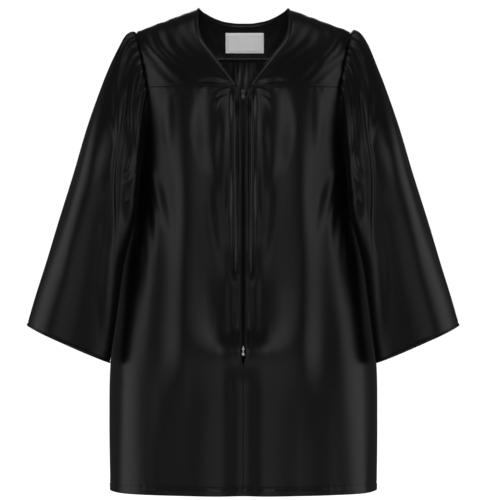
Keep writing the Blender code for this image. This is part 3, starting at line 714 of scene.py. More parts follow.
# %% Right and wrong side of the satin
def satin(name, colour, lighter, roughness, spread, sheen):
    made = Finish(name, roughness=roughness, sheen_weight=sheen, sheen_roughness=0.45)
    floats = made.wave(made.cut(), 420.0, distortion=1.2)
    slubs = made.noise(made.cut(900.0, 60.0), 1.0, 3.0)
    mottle = made.noise(made.cut(1.0, 0.45), 26.0, 3.0)
    broad = made.noise(made.cut(1.0, 0.35), 7.0, 2.0)
    tone = 0.55 * mottle + 0.45 * slubs
    made.feed("Base Color", made.mix(tone, colour, lighter))
    made.feed("Roughness", roughness - spread + spread * (mottle + broad))
    made.bump(0.10 * floats + 0.16 * slubs + 1.0 * mottle, 0.0006, 0.35)
    return made.material


SATIN = satin(
    "black_satin_right_side", (0.0034, 0.0034, 0.0038, 1), (0.0062, 0.0062, 0.0067, 1),
    roughness=0.31, spread=0.04, sheen=0.04,
)
SATIN_INSIDE = satin(
    "black_satin_wrong_side", (0.0048, 0.0048, 0.0052, 1), (0.0085, 0.0085, 0.0091, 1),
    roughness=0.46, spread=0.05, sheen=0.06,
)
print("satin", SATIN.name, SATIN_INSIDE.name)

# %% [markdown]
# ## The front panels
#
# Two panels meet at the zip. Beside it each has a stitched groove and a rounded pleat that starts under the
# yoke seam. Lower down there is a leaf-shaped hollow, then a long valley that ends at the zip's foot, and the
# skirt falls in one broad fold beside the centre and one at the side.

# %% Folds of the front, in metres across the cloth and down
FRONT_FOLDS = [
    Fold(0.0095, 0.0095, 0.0040, -0.0017, 0.150, 0.440),
    Fold(0.0165, 0.0160, 0.0075, 0.0032, 0.145, 0.470),
    Fold(0.050, 0.046, 0.046, 0.0034, 0.540, 1.200),
    Fold(0.125, 0.120, 0.060, -0.0016, 0.540, 1.200),
    Fold(0.192, 0.222, 0.050, 0.0038, 0.420, 1.200),
    Fold(0.090, 0.098, 0.050, 0.0040, 0.130, 0.700),
    Fold(0.130, 0.135, 0.038, -0.0035, 0.200, 0.680),
]
Hump = namedtuple("Hump", "half_width rise")
VALLEY_AT_ZIP = [Hump(0.066, -0.0125), Hump(0.026, -0.0014)]
VALLEY_TOP = 0.385
VALLEY_FOOT = 0.588
BESIDE_STOP = [Hump(0.130, 0.0065), Hump(0.046, -0.0065)]
STOP_REACH = 0.040
TROUGH_AT_SEAM = [Fold(0.000, 0.000, 0.038, -0.0070, 0.590, 1.200)]
FRONT_CREASES = [
    Crease([(16, 142), (11, 152), (9.5, 168), (9.5, 190)], 3.2, -1.6),
    Crease([(22, 142), (18, 150), (16.5, 170), (16.5, 200)], 5.5, 2.4),
    Crease([(20, 143), (34, 146), (52, 156)], 3.6, 0.9),
    Crease([(24, 149), (38, 155), (48, 166)], 4, -0.7),
    Crease([(30, 152), (44, 165), (50, 190)], 6, 0.8),
    Crease([(58, 130), (62, 200), (58, 290)], 30, -3.4),
    Crease([(26, 170), (31, 260), (30, 360)], 22, 3.2),
    Crease([(25, 272), (24, 318), (26, 370)], 8.5, -2.6),
    Crease([(47, 280), (43, 355), (31, 440)], 14, 1.7),
    Crease([(60, 290), (54, 370), (42, 460)], 13, -1.2),
    Crease([(21, 370), (20, 470), (21, 580)], 14, -1.8),
    Crease([(128, 141), (130, 190), (127, 260)], 16, 1.4),
    Crease([(172, 268), (150, 320), (128, 392)], 16, 2.2),
    Crease([(186, 292), (170, 350), (158, 430)], 14, -1.8),
    Crease([(200, 300), (192, 370), (186, 460)], 14, 1.6),
]
WAIST = -0.0060
WAIST_LEVEL = 0.470
HEM_BAND = 0.0120
ZIP_BAND = 0.0060
print("front folds", len(FRONT_FOLDS), "creases", len(FRONT_CREASES))


# %% Height of the front's surface at every point
def hump_rise(humps, across):
    """Ridges and hollows on the front's middle line, alike at every level."""
    total = 0
    for hump in humps:
        total = total + hump.rise * bell(np.abs(across) / hump.half_width)
    return total


def centre_sink(across, drop):
    """How far the front lies behind its form along the zip and its seam; nothing at the bottom stop."""
    waist = WAIST * np.exp(-(((drop - WAIST_LEVEL) / 0.085) ** 2) - (across / 0.110) ** 4)
    length = smooth_step((drop - VALLEY_TOP) / 0.100) * smooth_step((VALLEY_FOOT - drop) / 0.050)
    at_stop = np.exp(-(((drop - VALLEY_FOOT) / STOP_REACH) ** 2))
    valley = length * hump_rise(VALLEY_AT_ZIP, across) + at_stop * hump_rise(BESIDE_STOP, across)
    return valley + fold_rise(TROUGH_AT_SEAM, across, drop, 0.060) + waist


def front_lift(across, drop, seed):
    edge = across - across[:, :1]
    side = across[:, -1:] - across
    below = drop - drop[:1]
    hem = HEM - drop
    lift = fold_rise(FRONT_FOLDS[:2], across, drop, 0.030) + fold_rise(FRONT_FOLDS[2:], across, drop, 0.130)
    lift += crease_rise(FRONT_CREASES, across, drop)
    lift += centre_sink(across, drop)
    lift += gathers(across, below, 20 + seed, 0.014, 0.19, 0.014, 0.0005, 0.030)
    lift += 0.0007 * ripple(across, drop, 30 + seed, 0.110, 0.45) * smooth_step(np.minimum(edge, side) / 0.03)
    lift += turned_band(hem, HEM_BAND, across, 50 + seed)
    closing = smooth_step((drop - 0.590) / 0.02)
    lift += (1 - closing) * turned_band(edge, ZIP_BAND, drop, 60 + seed, 0.00015) + closing * roll(edge)
    under_arm = smooth_step((drop[:, -1:] - UNDERARM) / 0.01)
    lift += roll(side) + roll(below)
    return lift + 0.0004 * under_arm * np.exp(-((side / 0.004) ** 2))


front_normals = facing(front_base, grid_normals(front_base), FRONT_OUT)
front_flat = np.stack([front_across, -front_drop], -1)
fronts = {}
for name, seed in (("front_left", 1), ("front_right", 2)):
    points = front_base + front_normals * front_lift(front_across, front_drop, seed)[..., None]
    fronts[name] = cloth(name + "_cloth", points, front_flat, name, FRONT_OUT, mirror=seed == 2)
    if seed == 1:
        front_points = points

# %% [markdown]
# ## The back panel
#
# The back is cut wider than its yoke and gathered into the seam. Each small gather runs out within a hand's
# width, and a few carry on as flutes that widen down to the hem.

# %% Folds of the back, then its cloth
BACK_FOLDS = [
    Fold(0.000, 0.000, 0.026, -0.0060, 0.085, 1.000),
    Fold(-0.038, -0.052, 0.028, 0.0070, 0.085, 1.000),
    Fold(0.040, 0.050, 0.028, 0.0065, 0.085, 1.000),
    Fold(-0.074, -0.104, 0.030, -0.0065, 0.085, 1.000),
    Fold(0.078, 0.102, 0.030, -0.0070, 0.085, 1.000),
    Fold(-0.112, -0.158, 0.032, 0.0075, 0.085, 1.000),
    Fold(0.110, 0.152, 0.032, 0.0070, 0.085, 1.000),
    Fold(-0.145, -0.210, 0.032, -0.0055, 0.170, 1.000),
    Fold(0.146, 0.206, 0.032, -0.0060, 0.180, 1.000),
]
BACK_CREASES = [
    Crease([(-20, 95), (-24, 190), (-30, 330)], 9, 1.6),
    Crease([(18, 100), (22, 220), (24, 380)], 9, 1.4),
    Crease([(-58, 92), (-66, 200), (-80, 360)], 10, -1.8),
    Crease([(60, 92), (68, 220), (78, 420)], 10, -1.6),
    Crease([(-95, 96), (-112, 210), (-132, 380)], 10, 1.5),
    Crease([(92, 96), (108, 210), (126, 400)], 10, 1.6),
    Crease([(-160, 262), (-130, 330), (-112, 420)], 13, 2.2),
    Crease([(162, 262), (134, 330), (118, 430)], 13, 2.2),
    Crease([(-200, 300), (-196, 400), (-190, 520)], 14, -1.8),
    Crease([(200, 300), (196, 400), (192, 520)], 14, -1.8),
    Crease([(-30, 560), (-34, 680), (-40, 800)], 12, -1.2),
    Crease([(76, 600), (80, 700), (84, 810)], 12, 1.2),
]


def back_lift(across, drop):
    side = np.minimum(across - across[:, :1], across[:, -1:] - across)
    below = drop - drop[:1]
    lift = fold_rise(BACK_FOLDS, across, drop, 0.045)
    lift += crease_rise(BACK_CREASES, across, drop)
    lift += gathers(across, below, 5, -0.165, 0.165, 0.0105, 0.0024, 0.075)
    lift += gathers(across, below, 6, -0.160, 0.160, 0.0190, 0.0024, 0.150)
    calm_edges = smooth_step(below / 0.05) * smooth_step(side / 0.03)
    lift += 0.0007 * ripple(across, drop, 7, 0.110, 0.45) * calm_edges
    lift += turned_band(HEM - drop, HEM_BAND, across, 8)
    return lift + roll(side) + roll(below)


back_normals = facing(back_base, grid_normals(back_base), BACK_OUT)
back_points = back_base + back_normals * back_lift(back_across, back_drop)[..., None]
back_flat = np.stack([back_across, -back_drop], -1)
back = cloth("back_cloth", back_points, back_flat, "back", BACK_OUT)


# %% [markdown]
# ## The yoke pieces
#
# The yokes lie smooth over the shoulders. The V's edge and the back neck edge are turned in and sewn, and
# the seam between front and back runs along the ridge.

# %% Front yokes and back yoke
NECK_BAND = 0.0065
FRONT_YOKE_CREASES = [
    Crease([(8, 8), (24, 16), (44, 20)], 7, 0.9),
    Crease([(14, 2), (40, 9), (70, 7)], 6, -0.7),
    Crease([(96, 20), (88, 60), (92, 110)], 12, 1.1),
]
BACK_YOKE_CREASES = [
    Crease([(66, 24), (57, 46), (42, 74)], 6, -1.6),
    Crease([(74, 38), (64, 60), (55, 78)], 6, 1.2),
    Crease([(54, 24), (47, 40), (38, 58)], 5, 1.1),
    Crease([(96, 34), (104, 56), (118, 74)], 9, -1.1),
]


def lengths(points, axis):
    """The distance along the cloth of every point from the grid's first row or column."""
    steps = np.linalg.norm(np.diff(points, axis=axis), axis=-1)
    first = np.zeros_like(steps[:1] if axis == 0 else steps[:, :1])
    return np.concatenate([first, np.cumsum(steps, axis)], axis)


def front_yoke_lift(points, seed):
    across, up = lengths(points, 1), lengths(points, 0)
    outer, above = across[:, -1:] - across, up[-1:] - up
    lift = turned_band(across, NECK_BAND, up, 70 + seed, 0.0002)
    rounded_edge = np.exp(-(((across - 0.0022) / 0.0016) ** 2))
    lift += 0.0012 * rounded_edge
    lift += roll(outer) + roll(up) + roll(above)
    lift += 0.0005 * ripple(across, up, 80 + seed, 0.030, 0.10) * smooth_step(up / 0.01)
    return lift + crease_rise(FRONT_YOKE_CREASES, across, up)


def back_yoke_lift(points):
    across, up = lengths(points, 1), lengths(points, 0)
    side = np.minimum(across, across[:, -1:] - across)
    above = up[-1:] - up
    middle = across - across[:, -1:] / 2
    inside_neck = smooth_step((NECK_HALF_WIDTH + 0.012 - np.abs(middle)) / 0.010)
    lift = inside_neck * turned_band(above, NECK_BAND, across, 90, 0.0002) + (1 - inside_neck) * roll(above)
    lift += 0.0005 * ripple(across, up, 91, 0.035, 0.12) * smooth_step(up / 0.01)
    lift += front_view_rise(BACK_YOKE_CREASES, points)
    return lift + roll(side) + roll(up)


def lifted(points, lift, outward):
    normals = facing(points, grid_normals(points), outward)
    return points + normals * lift[..., None]


def flat_of(points):
    return np.stack([lengths(points, 1), lengths(points, 0)], -1)


yokes = {}
for name, seed in (("yoke_front_left", 1), ("yoke_front_right", 2)):
    points = lifted(front_yoke_base, front_yoke_lift(front_yoke_base, seed), FRONT_YOKE_OUT)
    yokes[name] = cloth(name + "_cloth", points, flat_of(points), name, FRONT_YOKE_OUT, mirror=seed == 2)
    if seed == 1:
        front_yoke_points = points
back_yoke_points = lifted(back_yoke_base, back_yoke_lift(back_yoke_base), BACK_YOKE_OUT)
back_yoke_flat = flat_of(back_yoke_points)
yokes["yoke_back"] = cloth("yoke_back_cloth", back_yoke_points, back_yoke_flat, "yoke_back", BACK_YOKE_OUT)


# %% [markdown]
# ## The bell sleeves
#
# The sleeve's head is gathered into the armhole, so it stands up in fine ridges that die out down the arm.
# Below them the tube hangs from the shoulder: its front folds over itself towards the body, and its cuff
# ends in a narrow rolled hem.

# %% Sleeve folds: at the back by degrees and shares, on the front as they are seen
# ARC and TOP_ARC turn a degree round the sleeve into metres of cloth, at its back and at its gathered head;
# TOP_DEGREES turns metres at the head into degrees again
SLEEVE_FOLDS = [
    Fold(52, 58, 34, 0.0025, 0.250, 1.400),
    Fold(104, 112, 40, -0.0035, 0.300, 1.400),
    Fold(250, 240, 30, -0.0050, 0.150, 1.400),
    Fold(300, 292, 30, 0.0050, 0.100, 1.400),
]
ARC = 0.0014
TOP_ARC = 0.00165
TOP_DEGREES = 606
ARM_RADIUS = 0.08
INNER_STRIP = [(168, 80), (171, 150), (172, 215), (173, 280), (177, 340), (190, 410), (206, 500), (218, 570)]
CREASE_LINE = [
    (179, 62), (189, 112), (196, 139), (201, 196), (206, 230),
    (210, 257), (213, 284), (213, 331), (211, 364), (215, 425),
]
OUTER_EDGE = [(233, 120), (245, 179), (258, 230), (278, 314), (289, 373), (297, 432), (302, 470)]
INNER_EDGE = [(215, 340), (217, 390), (221, 450), (224, 520), (228, 590)]
PANEL_LINE = [(204, 84), (211, 138), (211, 206), (210, 250)]
SLEEVE_FRONT_FOLDS = [
    Crease(OUTER_EDGE, 22, 1.4),
    Crease(INNER_EDGE, 24, 4.5),
    Crease(INNER_STRIP, 28, 9.0),
    Crease(PANEL_LINE, 15, 5.0),
    Crease(CREASE_LINE, 4.5, -3.0),
    Crease([(x + 6, z) for x, z in CREASE_LINE[3:]], 5, 1.8),
    Crease([(186, 250), (192, 276), (203, 292)], 6, 1.6),
    Crease([(182, 282), (191, 300), (205, 305)], 6, -1.5),
    Crease([(186, 312), (193, 330), (204, 338)], 6, 1.2),
    Crease([(194, 150), (191, 200), (194, 245)], 6, 0.9),
]
SLEEVE_BACK_CREASES = [
    Crease([(300, 60), (318, 150), (330, 260)], 14, -2.0),
    Crease([(340, 220), (336, 340), (330, 500)], 15, 1.8),
    Crease([(396, 200), (398, 330), (400, 480)], 15, -1.6),
    Crease([(440, 40), (432, 120), (436, 210)], 10, 1.6),
    Crease([(462, 220), (460, 330), (462, 460)], 14, 1.4),
]
CUFF_BAND = 0.0050
SWEEP = 7.0
SEAM_ALLOWANCE = 0.0030
SLEEVE_SHIFT = 0.0070


def sleeve_lift(angle, along, seed):
    degrees = np.degrees(angle)[None] + 0 * along[:, None]
    share = along[:, None] + 0 * degrees
    arc, down = degrees * ARC, share * SLEEVE_LENGTH
    around_top = (np.mod(degrees + 180, 360) - 180) * TOP_ARC
    lift = fold_rise(SLEEVE_FOLDS, degrees, share, 0.20)
    lift += crease_rise(SLEEVE_BACK_CREASES, arc + 0.002 * (seed - 1), down)
    swept = around_top - SWEEP * around_top * down
    lift += gathers(swept, down, 100 + seed, -0.125, 0.135, 0.0075, 0.0030, 0.045)
    lift += gathers(swept, down, 110 + seed, -0.115, 0.130, 0.0150, 0.0040, 0.085)
    over_shoulder = smooth_step((110 - np.abs(around_top * TOP_DEGREES)) / 50)
    lift += 0.0020 * smooth_step(down / 0.012) * np.exp(-down / 0.035) * over_shoulder
    around_x = np.cos(angle)[None] * ARM_RADIUS
    around_y = np.sin(angle)[None] * ARM_RADIUS
    lift += 0.0006 * (ripple(around_x, down, 120 + seed, 0.12, 0.4) + ripple(around_y, down, 130, 0.12, 0.4))
    return lift + turned_band(SLEEVE_LENGTH - down, CUFF_BAND, arc, 140 + seed, 0.00025)


def sleeve_front(base, normals):
    """Folds of the sleeve's front stand out towards the front, and not into the body."""
    faces_front = smooth_step((-normals[..., 1] - 0.02) / 0.30)
    away_from_seam = smooth_step((sleeve_along[:, None] * SLEEVE_LENGTH - 0.004) / 0.02)
    return faces_front * away_from_seam * front_view_rise(SLEEVE_FRONT_FOLDS, base)


def around_armhole(front_yoke, front, back, back_yoke):
    """Values on the armhole's edge, read at the sleeve's angles: shoulder, front, underarm, back."""
    last_front = nearest(front_levels[1], UNDERARM)
    last_back = nearest(back_levels[1], UNDERARM)
    edges = [front_yoke_points[::-1, -1], front_points[: last_front + 1, -1]]
    down = np.concatenate(edges), np.concatenate([front_yoke[::-1], front[: last_front + 1]])
    edges = [back_points[last_back::-1, -1], back_yoke_points[:, -1]]
    up = np.concatenate(edges), np.concatenate([back[last_back::-1], back_yoke])
    turns, values = [], []
    for start, (edge, value) in ((0, down), (math.pi, up)):
        along = distance_along(edge)
        turns.append(start + along / along[-1] * math.pi)
        values.append(value)
    turn = np.concatenate([turns[0], turns[1][1:]])
    value = np.concatenate([values[0], values[1][1:]])
    return np.stack([np.interp(sleeve_angle, turn, value[:, k]) for k in range(3)], -1)


def inward(points, outward):
    """At a panel's armhole edge, the way back into the panel and behind it."""
    normals = facing(points, grid_normals(points), outward)[:, -1]
    into_panel = unit(points[:, -14] - points[:, -1])
    return SEAM_ALLOWANCE * into_panel - SEAM_ALLOWANCE * normals


def beside_body(base):
    """From 0 to 1, how much of the sleeve's front lies close beside the body and is moved in to it."""
    on_front = smooth_step((-base[..., 1] - 0.020) / 0.020)
    on_inner_side = smooth_step((0.216 - base[..., 0]) / 0.024)
    at_mid_arm = np.exp(-(((-base[..., 2] - 0.340) / 0.055) ** 2))
    return on_front * on_inner_side * at_mid_arm


grids = (front_yoke_points, front_points, back_points, back_yoke_points)
ways_out = (FRONT_YOKE_OUT, FRONT_OUT, BACK_OUT, BACK_YOKE_OUT)
armhole = around_armhole(*[grid[:, -1] for grid in grids])
allowance = around_armhole(*[inward(grid, way) for grid, way in zip(grids, ways_out)])
offset = armhole - sleeve_ring(0, sleeve_angle)
blend = 1 - smooth_step(sleeve_along / ARMHOLE_BLEND)
rings = [sleeve_ring(along, sleeve_angle) + offset * share for along, share in zip(sleeve_along, blend)]
sleeve_base = np.array(rings)
sleeve_base[..., 0] -= SLEEVE_SHIFT * beside_body(sleeve_base)
print("sleeve grid", sleeve_base.shape)

sleeve_outward = sleeve_base - sleeve_base.mean(axis=1, keepdims=True)
sleeve_normals = facing(sleeve_base, grid_normals(sleeve_base, True), sleeve_outward)
sleeves = {}
for name, seed in (("sleeve_left", 1), ("sleeve_right", 2)):
    lift = sleeve_lift(sleeve_angle, sleeve_along, seed)
    surface = sleeve_base + sleeve_normals * lift[..., None]
    surface[..., 1] -= sleeve_front(sleeve_base, sleeve_normals)
    points = np.concatenate([(armhole + allowance)[None], surface])
    round_arm = np.append(sleeve_angle, math.tau) * ARM_RADIUS
    round_arm, down = np.meshgrid(round_arm, np.append(-0.004, sleeve_along * SLEEVE_LENGTH))
    flat = np.stack([round_arm, -down], -1)
    outward = np.concatenate([sleeve_outward[:1], sleeve_outward])
    sleeves[name] = cloth(name + "_cloth", points, flat, name, outward, closed=True, mirror=seed == 2)
    if seed == 1:
        sleeve_points = points

# %% [markdown]
# ## The zip
#
# A coil zip closes the front: two woven tapes sewn behind the panels' edges, and on each a spiral of nylon
# whose turns lock between the other's. The turns are the same small rounded tooth, set over and over at the
# zip's pitch and joined to one mesh for each side. An array modifier along a curve would give the same row.

# %% Finishes of the zip
def plain(name, colour, lighter, roughness, scale, metallic=0.0, grain=0.0002):
    made = Finish(name, roughness=roughness, metallic=metallic)
    mottle = made.noise(made.place(), scale, 4.0)
    made.feed("Base Color", made.mix(mottle, colour, lighter))
    made.feed("Roughness", roughness - 0.08 + 0.16 * mottle)
    made.bump(mottle, grain, 0.4)
    return made.material


def woven(name, colour, lighter, roughness, ribs):
    """A tape or label: ribs across it and a fine noise of single threads."""
    made = Finish(name, roughness=roughness, sheen_weight=0.2)
    rib = made.wave(made.cut(), ribs, "Y")
    cross = made.wave(made.cut(), ribs * 0.8, "X")
    fuzz = made.noise(made.cut(), 1500.0, 2.0)
    made.feed("Base Color", made.mix(0.35 * rib + 0.25 * cross + 0.4 * fuzz, colour, lighter))
    made.bump(0.6 * rib + 0.4 * cross + 0.5 * fuzz, 0.00018, 0.7)
    return made


TAPE = woven("zip_tape_weave", (0.003, 0.003, 0.0035, 1), (0.007, 0.007, 0.0075, 1), 0.85, 300.0).material
COIL = plain("zip_coil_nylon", (0.003, 0.003, 0.0033, 1), (0.006, 0.006, 0.0065, 1), 0.46, 400.0)
DARK_METAL = plain("dark_metal", (0.050, 0.050, 0.053, 1), (0.100, 0.100, 0.105, 1), 0.28, 700.0, 0.9)
PALE_METAL = plain("pale_metal", (0.70, 0.70, 0.71, 1), (0.86, 0.86, 0.87, 1), 0.28, 600.0, 1.0)
THREAD = plain("black_thread", (0.008, 0.008, 0.009, 1), (0.022, 0.022, 0.024, 1), 0.50, 900.0)
print("zip finishes ready")

# %% Tapes behind the panels, following the panels' own rows
ZIP_TOP = 0.1455
ZIP_FOOT = 0.5740
TAPE_END = 0.608
TAPE_CLEARANCE = 0.0004
TAPE_DIP = 0.0006
TAPE_INNER_EDGE = 0.0021
COIL_DEPTH = 0.0024
COIL_TOP = 0.1490


def zip_normal(drop):
    down = place(np.zeros(2), drop + np.array([-0.001, 0.001]), FRONT)
    step = unit(down[1] - down[0])
    return np.array([0, step[2], -step[1]])


# The tape's inner columns lie a little deeper, and one more column carries it in under the coil
rows = (front_levels[0] > ZIP_TOP) & (front_levels[0] < TAPE_END)
panel = front_points[rows][:, 1:14]
tape_normals = facing(panel, grid_normals(panel), STRAIGHT_OUT)
tape = panel - tape_normals * (CLOTH + TAPE_CLEARANCE)
tape[:, :5] -= tape_normals[:, :5] * np.linspace(TAPE_DIP, 0, 5)[:, None]
inner = tape[:, :1].copy()
inner[..., 0] = np.minimum(TAPE_INNER_EDGE, inner[..., 0] - 0.0002)
tape = np.concatenate([inner, tape], axis=1)
for name, mirror in (("zip_tape_left", False), ("zip_tape_right", True)):
    cloth(
        name + "_weave", tape, flat_of(tape), name, STRAIGHT_OUT,
        mirror=mirror, thickness=0.0006, sides=(TAPE, TAPE),
    )


# %% One tooth, and a row of them
def capsule(length, radius, sides=8, rings=3):
    """Points and faces of a rod with round ends along X, centred on the origin."""
    turn = np.arange(sides) / sides * math.tau
    points, faces = [(-length / 2 - radius, 0, 0)], []
    for end in (-1, 1):
        for k in range(1, rings + 1) if end < 0 else range(rings, 0, -1):
            lean = k / rings * math.pi / 2
            x = end * (length / 2 + radius * math.cos(lean))
            reach = radius * math.sin(lean)
            points += [(x, reach * math.cos(t), reach * math.sin(t)) for t in turn]
    points.append((length / 2 + radius, 0, 0))
    count = len(points)
    for s in range(sides):
        faces.append((0, 1 + s, 1 + (s + 1) % sides))
        faces.append((count - 1, count - 2 - s, count - 2 - (s + 1) % sides))
    for ring in range(2 * rings - 1):
        for s in range(sides):
            a, b = 1 + ring * sides + s, 1 + ring * sides + (s + 1) % sides
            faces.append((a, a + sides, b + sides, b))
    return np.array(points), faces


def many(name, shape, places, material, node=None):
    """One mesh with a copy of a shape at each place: an origin and three directions."""
    base, faces = shape
    points, all_faces = [], []
    for k, (origin, *directions) in enumerate(places):
        points.append(origin + base @ np.array(directions))
        all_faces += [tuple(i + k * len(base) for i in face) for face in faces]
    mesh = bpy.data.meshes.new(name)
    mesh.from_pydata(np.concatenate(points).tolist(), [], all_faces)
    mesh.shade_smooth()
    mesh.materials.append(material)
    piece = linked(name, mesh)
    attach(piece, "gown")
    if node:
        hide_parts(node)
    print(name, len(places), "copies")
    return piece


# The coil follows the front's middle line wherever the cloth sinks back, so it never floats in front of it
COIL_PITCH = 0.00130
COIL_LEAN = 0.16
COIL_FROM_MIDDLE = 0.00085
tooth = capsule(0.0016, 0.00038, 6, 2)
for side, name in ((1, "left"), (-1, "right")):
    places = []
    for drop in np.arange(COIL_TOP, ZIP_FOOT, COIL_PITCH) + (COIL_PITCH / 2 if side < 0 else 0):
        out = zip_normal(drop)
        up = np.cross(out, [1, 0, 0])
        depth = COIL_DEPTH - float(centre_sink(np.zeros(1), np.array([drop]))[0])
        middle = place(np.zeros(1), np.array([drop]), FRONT)[0] - out * depth
        centre = middle + [side * COIL_FROM_MIDDLE, 0, 0]
        slope = unit(np.array([1, 0, 0]) + COIL_LEAN * side * up)
        places.append((centre, slope, unit(np.cross(out, slope)), out * 1.5))
    many("zip_coil_" + name + "_turns", tooth, places, COIL, "zip_coil_" + name)

# %% [markdown]
# ### Slider, pull tab and bottom stop
#
# They are small die castings: flat shapes with worn, rounded edges. Each is built up from outlines that are
# raised to plates and bevelled. The tab hangs from a round bar under the slider's bridge, and it is the one
# piece that turns.

# %% Bevelled plates in the zip's own directions: across, up and out
SLIDER_LEVEL = 0.1500
TAB_HALF_WIDTH = 0.0030
TAB_LENGTH = 0.0135
PIVOT_OUT = 0.0010


def zip_frame(drop, out_by=0.0):
    out = zip_normal(drop)
    origin = place(np.zeros(1), np.array([drop]), FRONT)[0] + out * out_by
    return origin, np.array([1.0, 0, 0]), np.cross(out, [1.0, 0, 0]), out


def arc(centre, radius, start, stop, steps):
    angles = np.radians(np.linspace(start, stop, steps))
    return [(centre[0] + radius * math.cos(a), centre[1] + radius * math.sin(a)) for a in angles]


def plate(shape, outline, low, high, bevel, hole=None):
    """Adds an outline raised from low to high to a bmesh, with rounded rims and perhaps a round hole."""
    made = bmesh.new()
    sides = [[made.verts.new((x, u, h)) for x, u in outline] for h in (low, high)]
    if hole is None:
        made.faces.new(sides[1])
        made.faces.new(sides[0][::-1])
    else:
        inside = [[made.verts.new((x, u, h)) for x, u in hole] for h in (low, high)]
        for rims in zip(sides, inside):
            edges = [made.edges.new((rim[i], rim[i - 1])) for rim in rims for i in range(len(rim))]
            bmesh.ops.triangle_fill(made, edges=edges, use_beauty=True)
        for i in range(len(hole)):
            made.faces.new((inside[0][i - 1], inside[0][i], inside[1][i], inside[1][i - 1]))
    for i in range(len(outline)):
        made.faces.new((sides[0][i - 1], sides[0][i], sides[1][i], sides[1][i - 1]))
    bmesh.ops.recalc_face_normals(made, faces=made.faces)
    sharp = [e for e in made.edges if len(e.link_faces) == 2 and e.calc_face_angle() > 0.6]
    bmesh.ops.bevel(made, geom=sharp, offset=bevel, segments=3, affect="EDGES", clamp_overlap=True)
    part = bpy.data.meshes.new("plate")
    made.to_mesh(part)
    made.free()
    shape.from_mesh(part)
    bpy.data.meshes.remove(part)


def casting(name, shape, frame_at, material, body, node):
    mesh = bpy.data.meshes.new(name)
    shape.to_mesh(mesh)
    shape.free()
    points = np.empty(len(mesh.vertices) * 3)
    mesh.vertices.foreach_get("co", points)
    origin, *directions = frame_at
    mesh.vertices.foreach_set("co", (origin + points.reshape(-1, 3) @ np.array(directions)).reshape(-1))
    mesh.shade_smooth()
    mesh.materials.append(material)
    piece = linked(name, mesh)
    piece.modifiers.new("flat faces stay flat", "WEIGHTED_NORMAL")
    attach(piece, body)
    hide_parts(node)
    print(name, len(mesh.vertices), "points")
    return piece


# %% The three castings
def mirrored(half):
    """The other half of an outline, for a shape that is the same on both sides."""
    return [(-x, u) for x, u in half[::-1]]


def rectangle(half_width, low, high):
    return [(-half_width, low), (half_width, low), (half_width, high), (-half_width, high)]


# The slider: a shield-shaped plate in front and behind, a post between them, and a bridge on two feet
right = [(0.0026, -0.0045), (0.0034, -0.0009), (0.0034, 0.0027), (0.00204, 0.0045)]
shield = right + mirrored(right)
slider = bmesh.new()
plate(slider, shield, -0.00125, -0.00005, 0.0003)
plate(slider, shield, -0.00475, -0.00355, 0.0003)
plate(slider, rectangle(0.0010, 0.0023, 0.0044), -0.0040, -0.0007, 0.0002)
plate(slider, rectangle(0.0009, -0.0034, 0.0034), 0.0020, 0.0029, 0.0003)
for low, high in ((-0.0033, -0.0023), (0.0023, 0.0033)):
    plate(slider, rectangle(0.0008, low, high), -0.0007, 0.0025, 0.0002)
casting("zip_slider_casting", slider, zip_frame(SLIDER_LEVEL), DARK_METAL, "gown", "zip_slider")

# The tab: two arms beside a slot that clears the bridge, a rounded end with a hole, and the bar it turns on
tab = bmesh.new()
eye = (0, -TAB_LENGTH + TAB_HALF_WIDTH)
arm = [(-0.0026, 0), (-0.0026, -0.0052), (-TAB_HALF_WIDTH, -0.0062)]
slot = [(0.0014, 0), (0.0014, -0.0048), (-0.0014, -0.0048), (-0.0014, 0)]
outline = arm + arc(eye, TAB_HALF_WIDTH, 180, 360, 17) + mirrored(arm) + slot
plate(tab, outline, -0.0005, 0.0005, 0.00018, hole=arc(eye, 0.0011, 345, 0, 24))
bar = bpy.data.meshes.new("bar")
points, faces = capsule(0.0042, 0.0006, 12, 3)
bar.from_pydata(points.tolist(), [], faces)
tab.from_mesh(bar)
at_pivot = zip_frame(SLIDER_LEVEL, PIVOT_OUT)
casting("zip_pull_tab_casting", tab, at_pivot, DARK_METAL, "pull_tab", "zip_pull_tab")


STOP_TOP = 0.5745
STOP_HEAD = 0.5805
STOP_TAIL = 0.5890
STOP_LENGTH = 0.0170
HEAD_RADIUS = 0.0021
TAIL_RADIUS = 0.0025
STOP_WAIST = 0.0009


def stop_half_width(drop):
    """The bottom stop's outline: a pointed head, a waist and a larger round tail."""
    head = max(0, HEAD_RADIUS**2 - (drop - STOP_HEAD) ** 2) ** 0.5
    tail = max(0, TAIL_RADIUS**2 - (drop - STOP_TAIL) ** 2) ** 0.5
    point = 0.9 * HEAD_RADIUS * (drop - STOP_TOP) / (STOP_HEAD - STOP_TOP) if drop < STOP_HEAD else 0
    waist = STOP_WAIST if STOP_HEAD < drop < STOP_TAIL else 0
    return max(head, tail, point, waist)


stop = bmesh.new()
drops = STOP_TOP + STOP_LENGTH * (1 - np.cos(np.linspace(0, math.pi, 30)[1:-1])) / 2
side = [(stop_half_width(drop), STOP_HEAD - drop) for drop in drops]
plate(stop, side + mirrored(side), -0.0034, -0.0002, 0.0005)
at_head = zip_frame(STOP_HEAD)
casting("zip_bottom_stop_casting", stop, at_head, PALE_METAL, "gown", "zip_bottom_stop")

# %% [markdown]
# ## The neck label
#
# A woven label lies inside the back yoke. It is left bare: a satin-woven ground with a fine woven border. The
# border is drawn in the shader from the label's own flat coordinates.

# %% The label, from the yoke's form moved inwards
LABEL_WIDTH = 0.067
LABEL_TOP = 0.0355
LABEL_FOOT = 0.0700
LABEL_HEIGHT = LABEL_FOOT - LABEL_TOP
LABEL_CENTRE = 0.002
LABEL_DEPTH = CAD_CLOTH + 0.0005
LABEL_COLUMNS = 60
LABEL_ROWS = 32

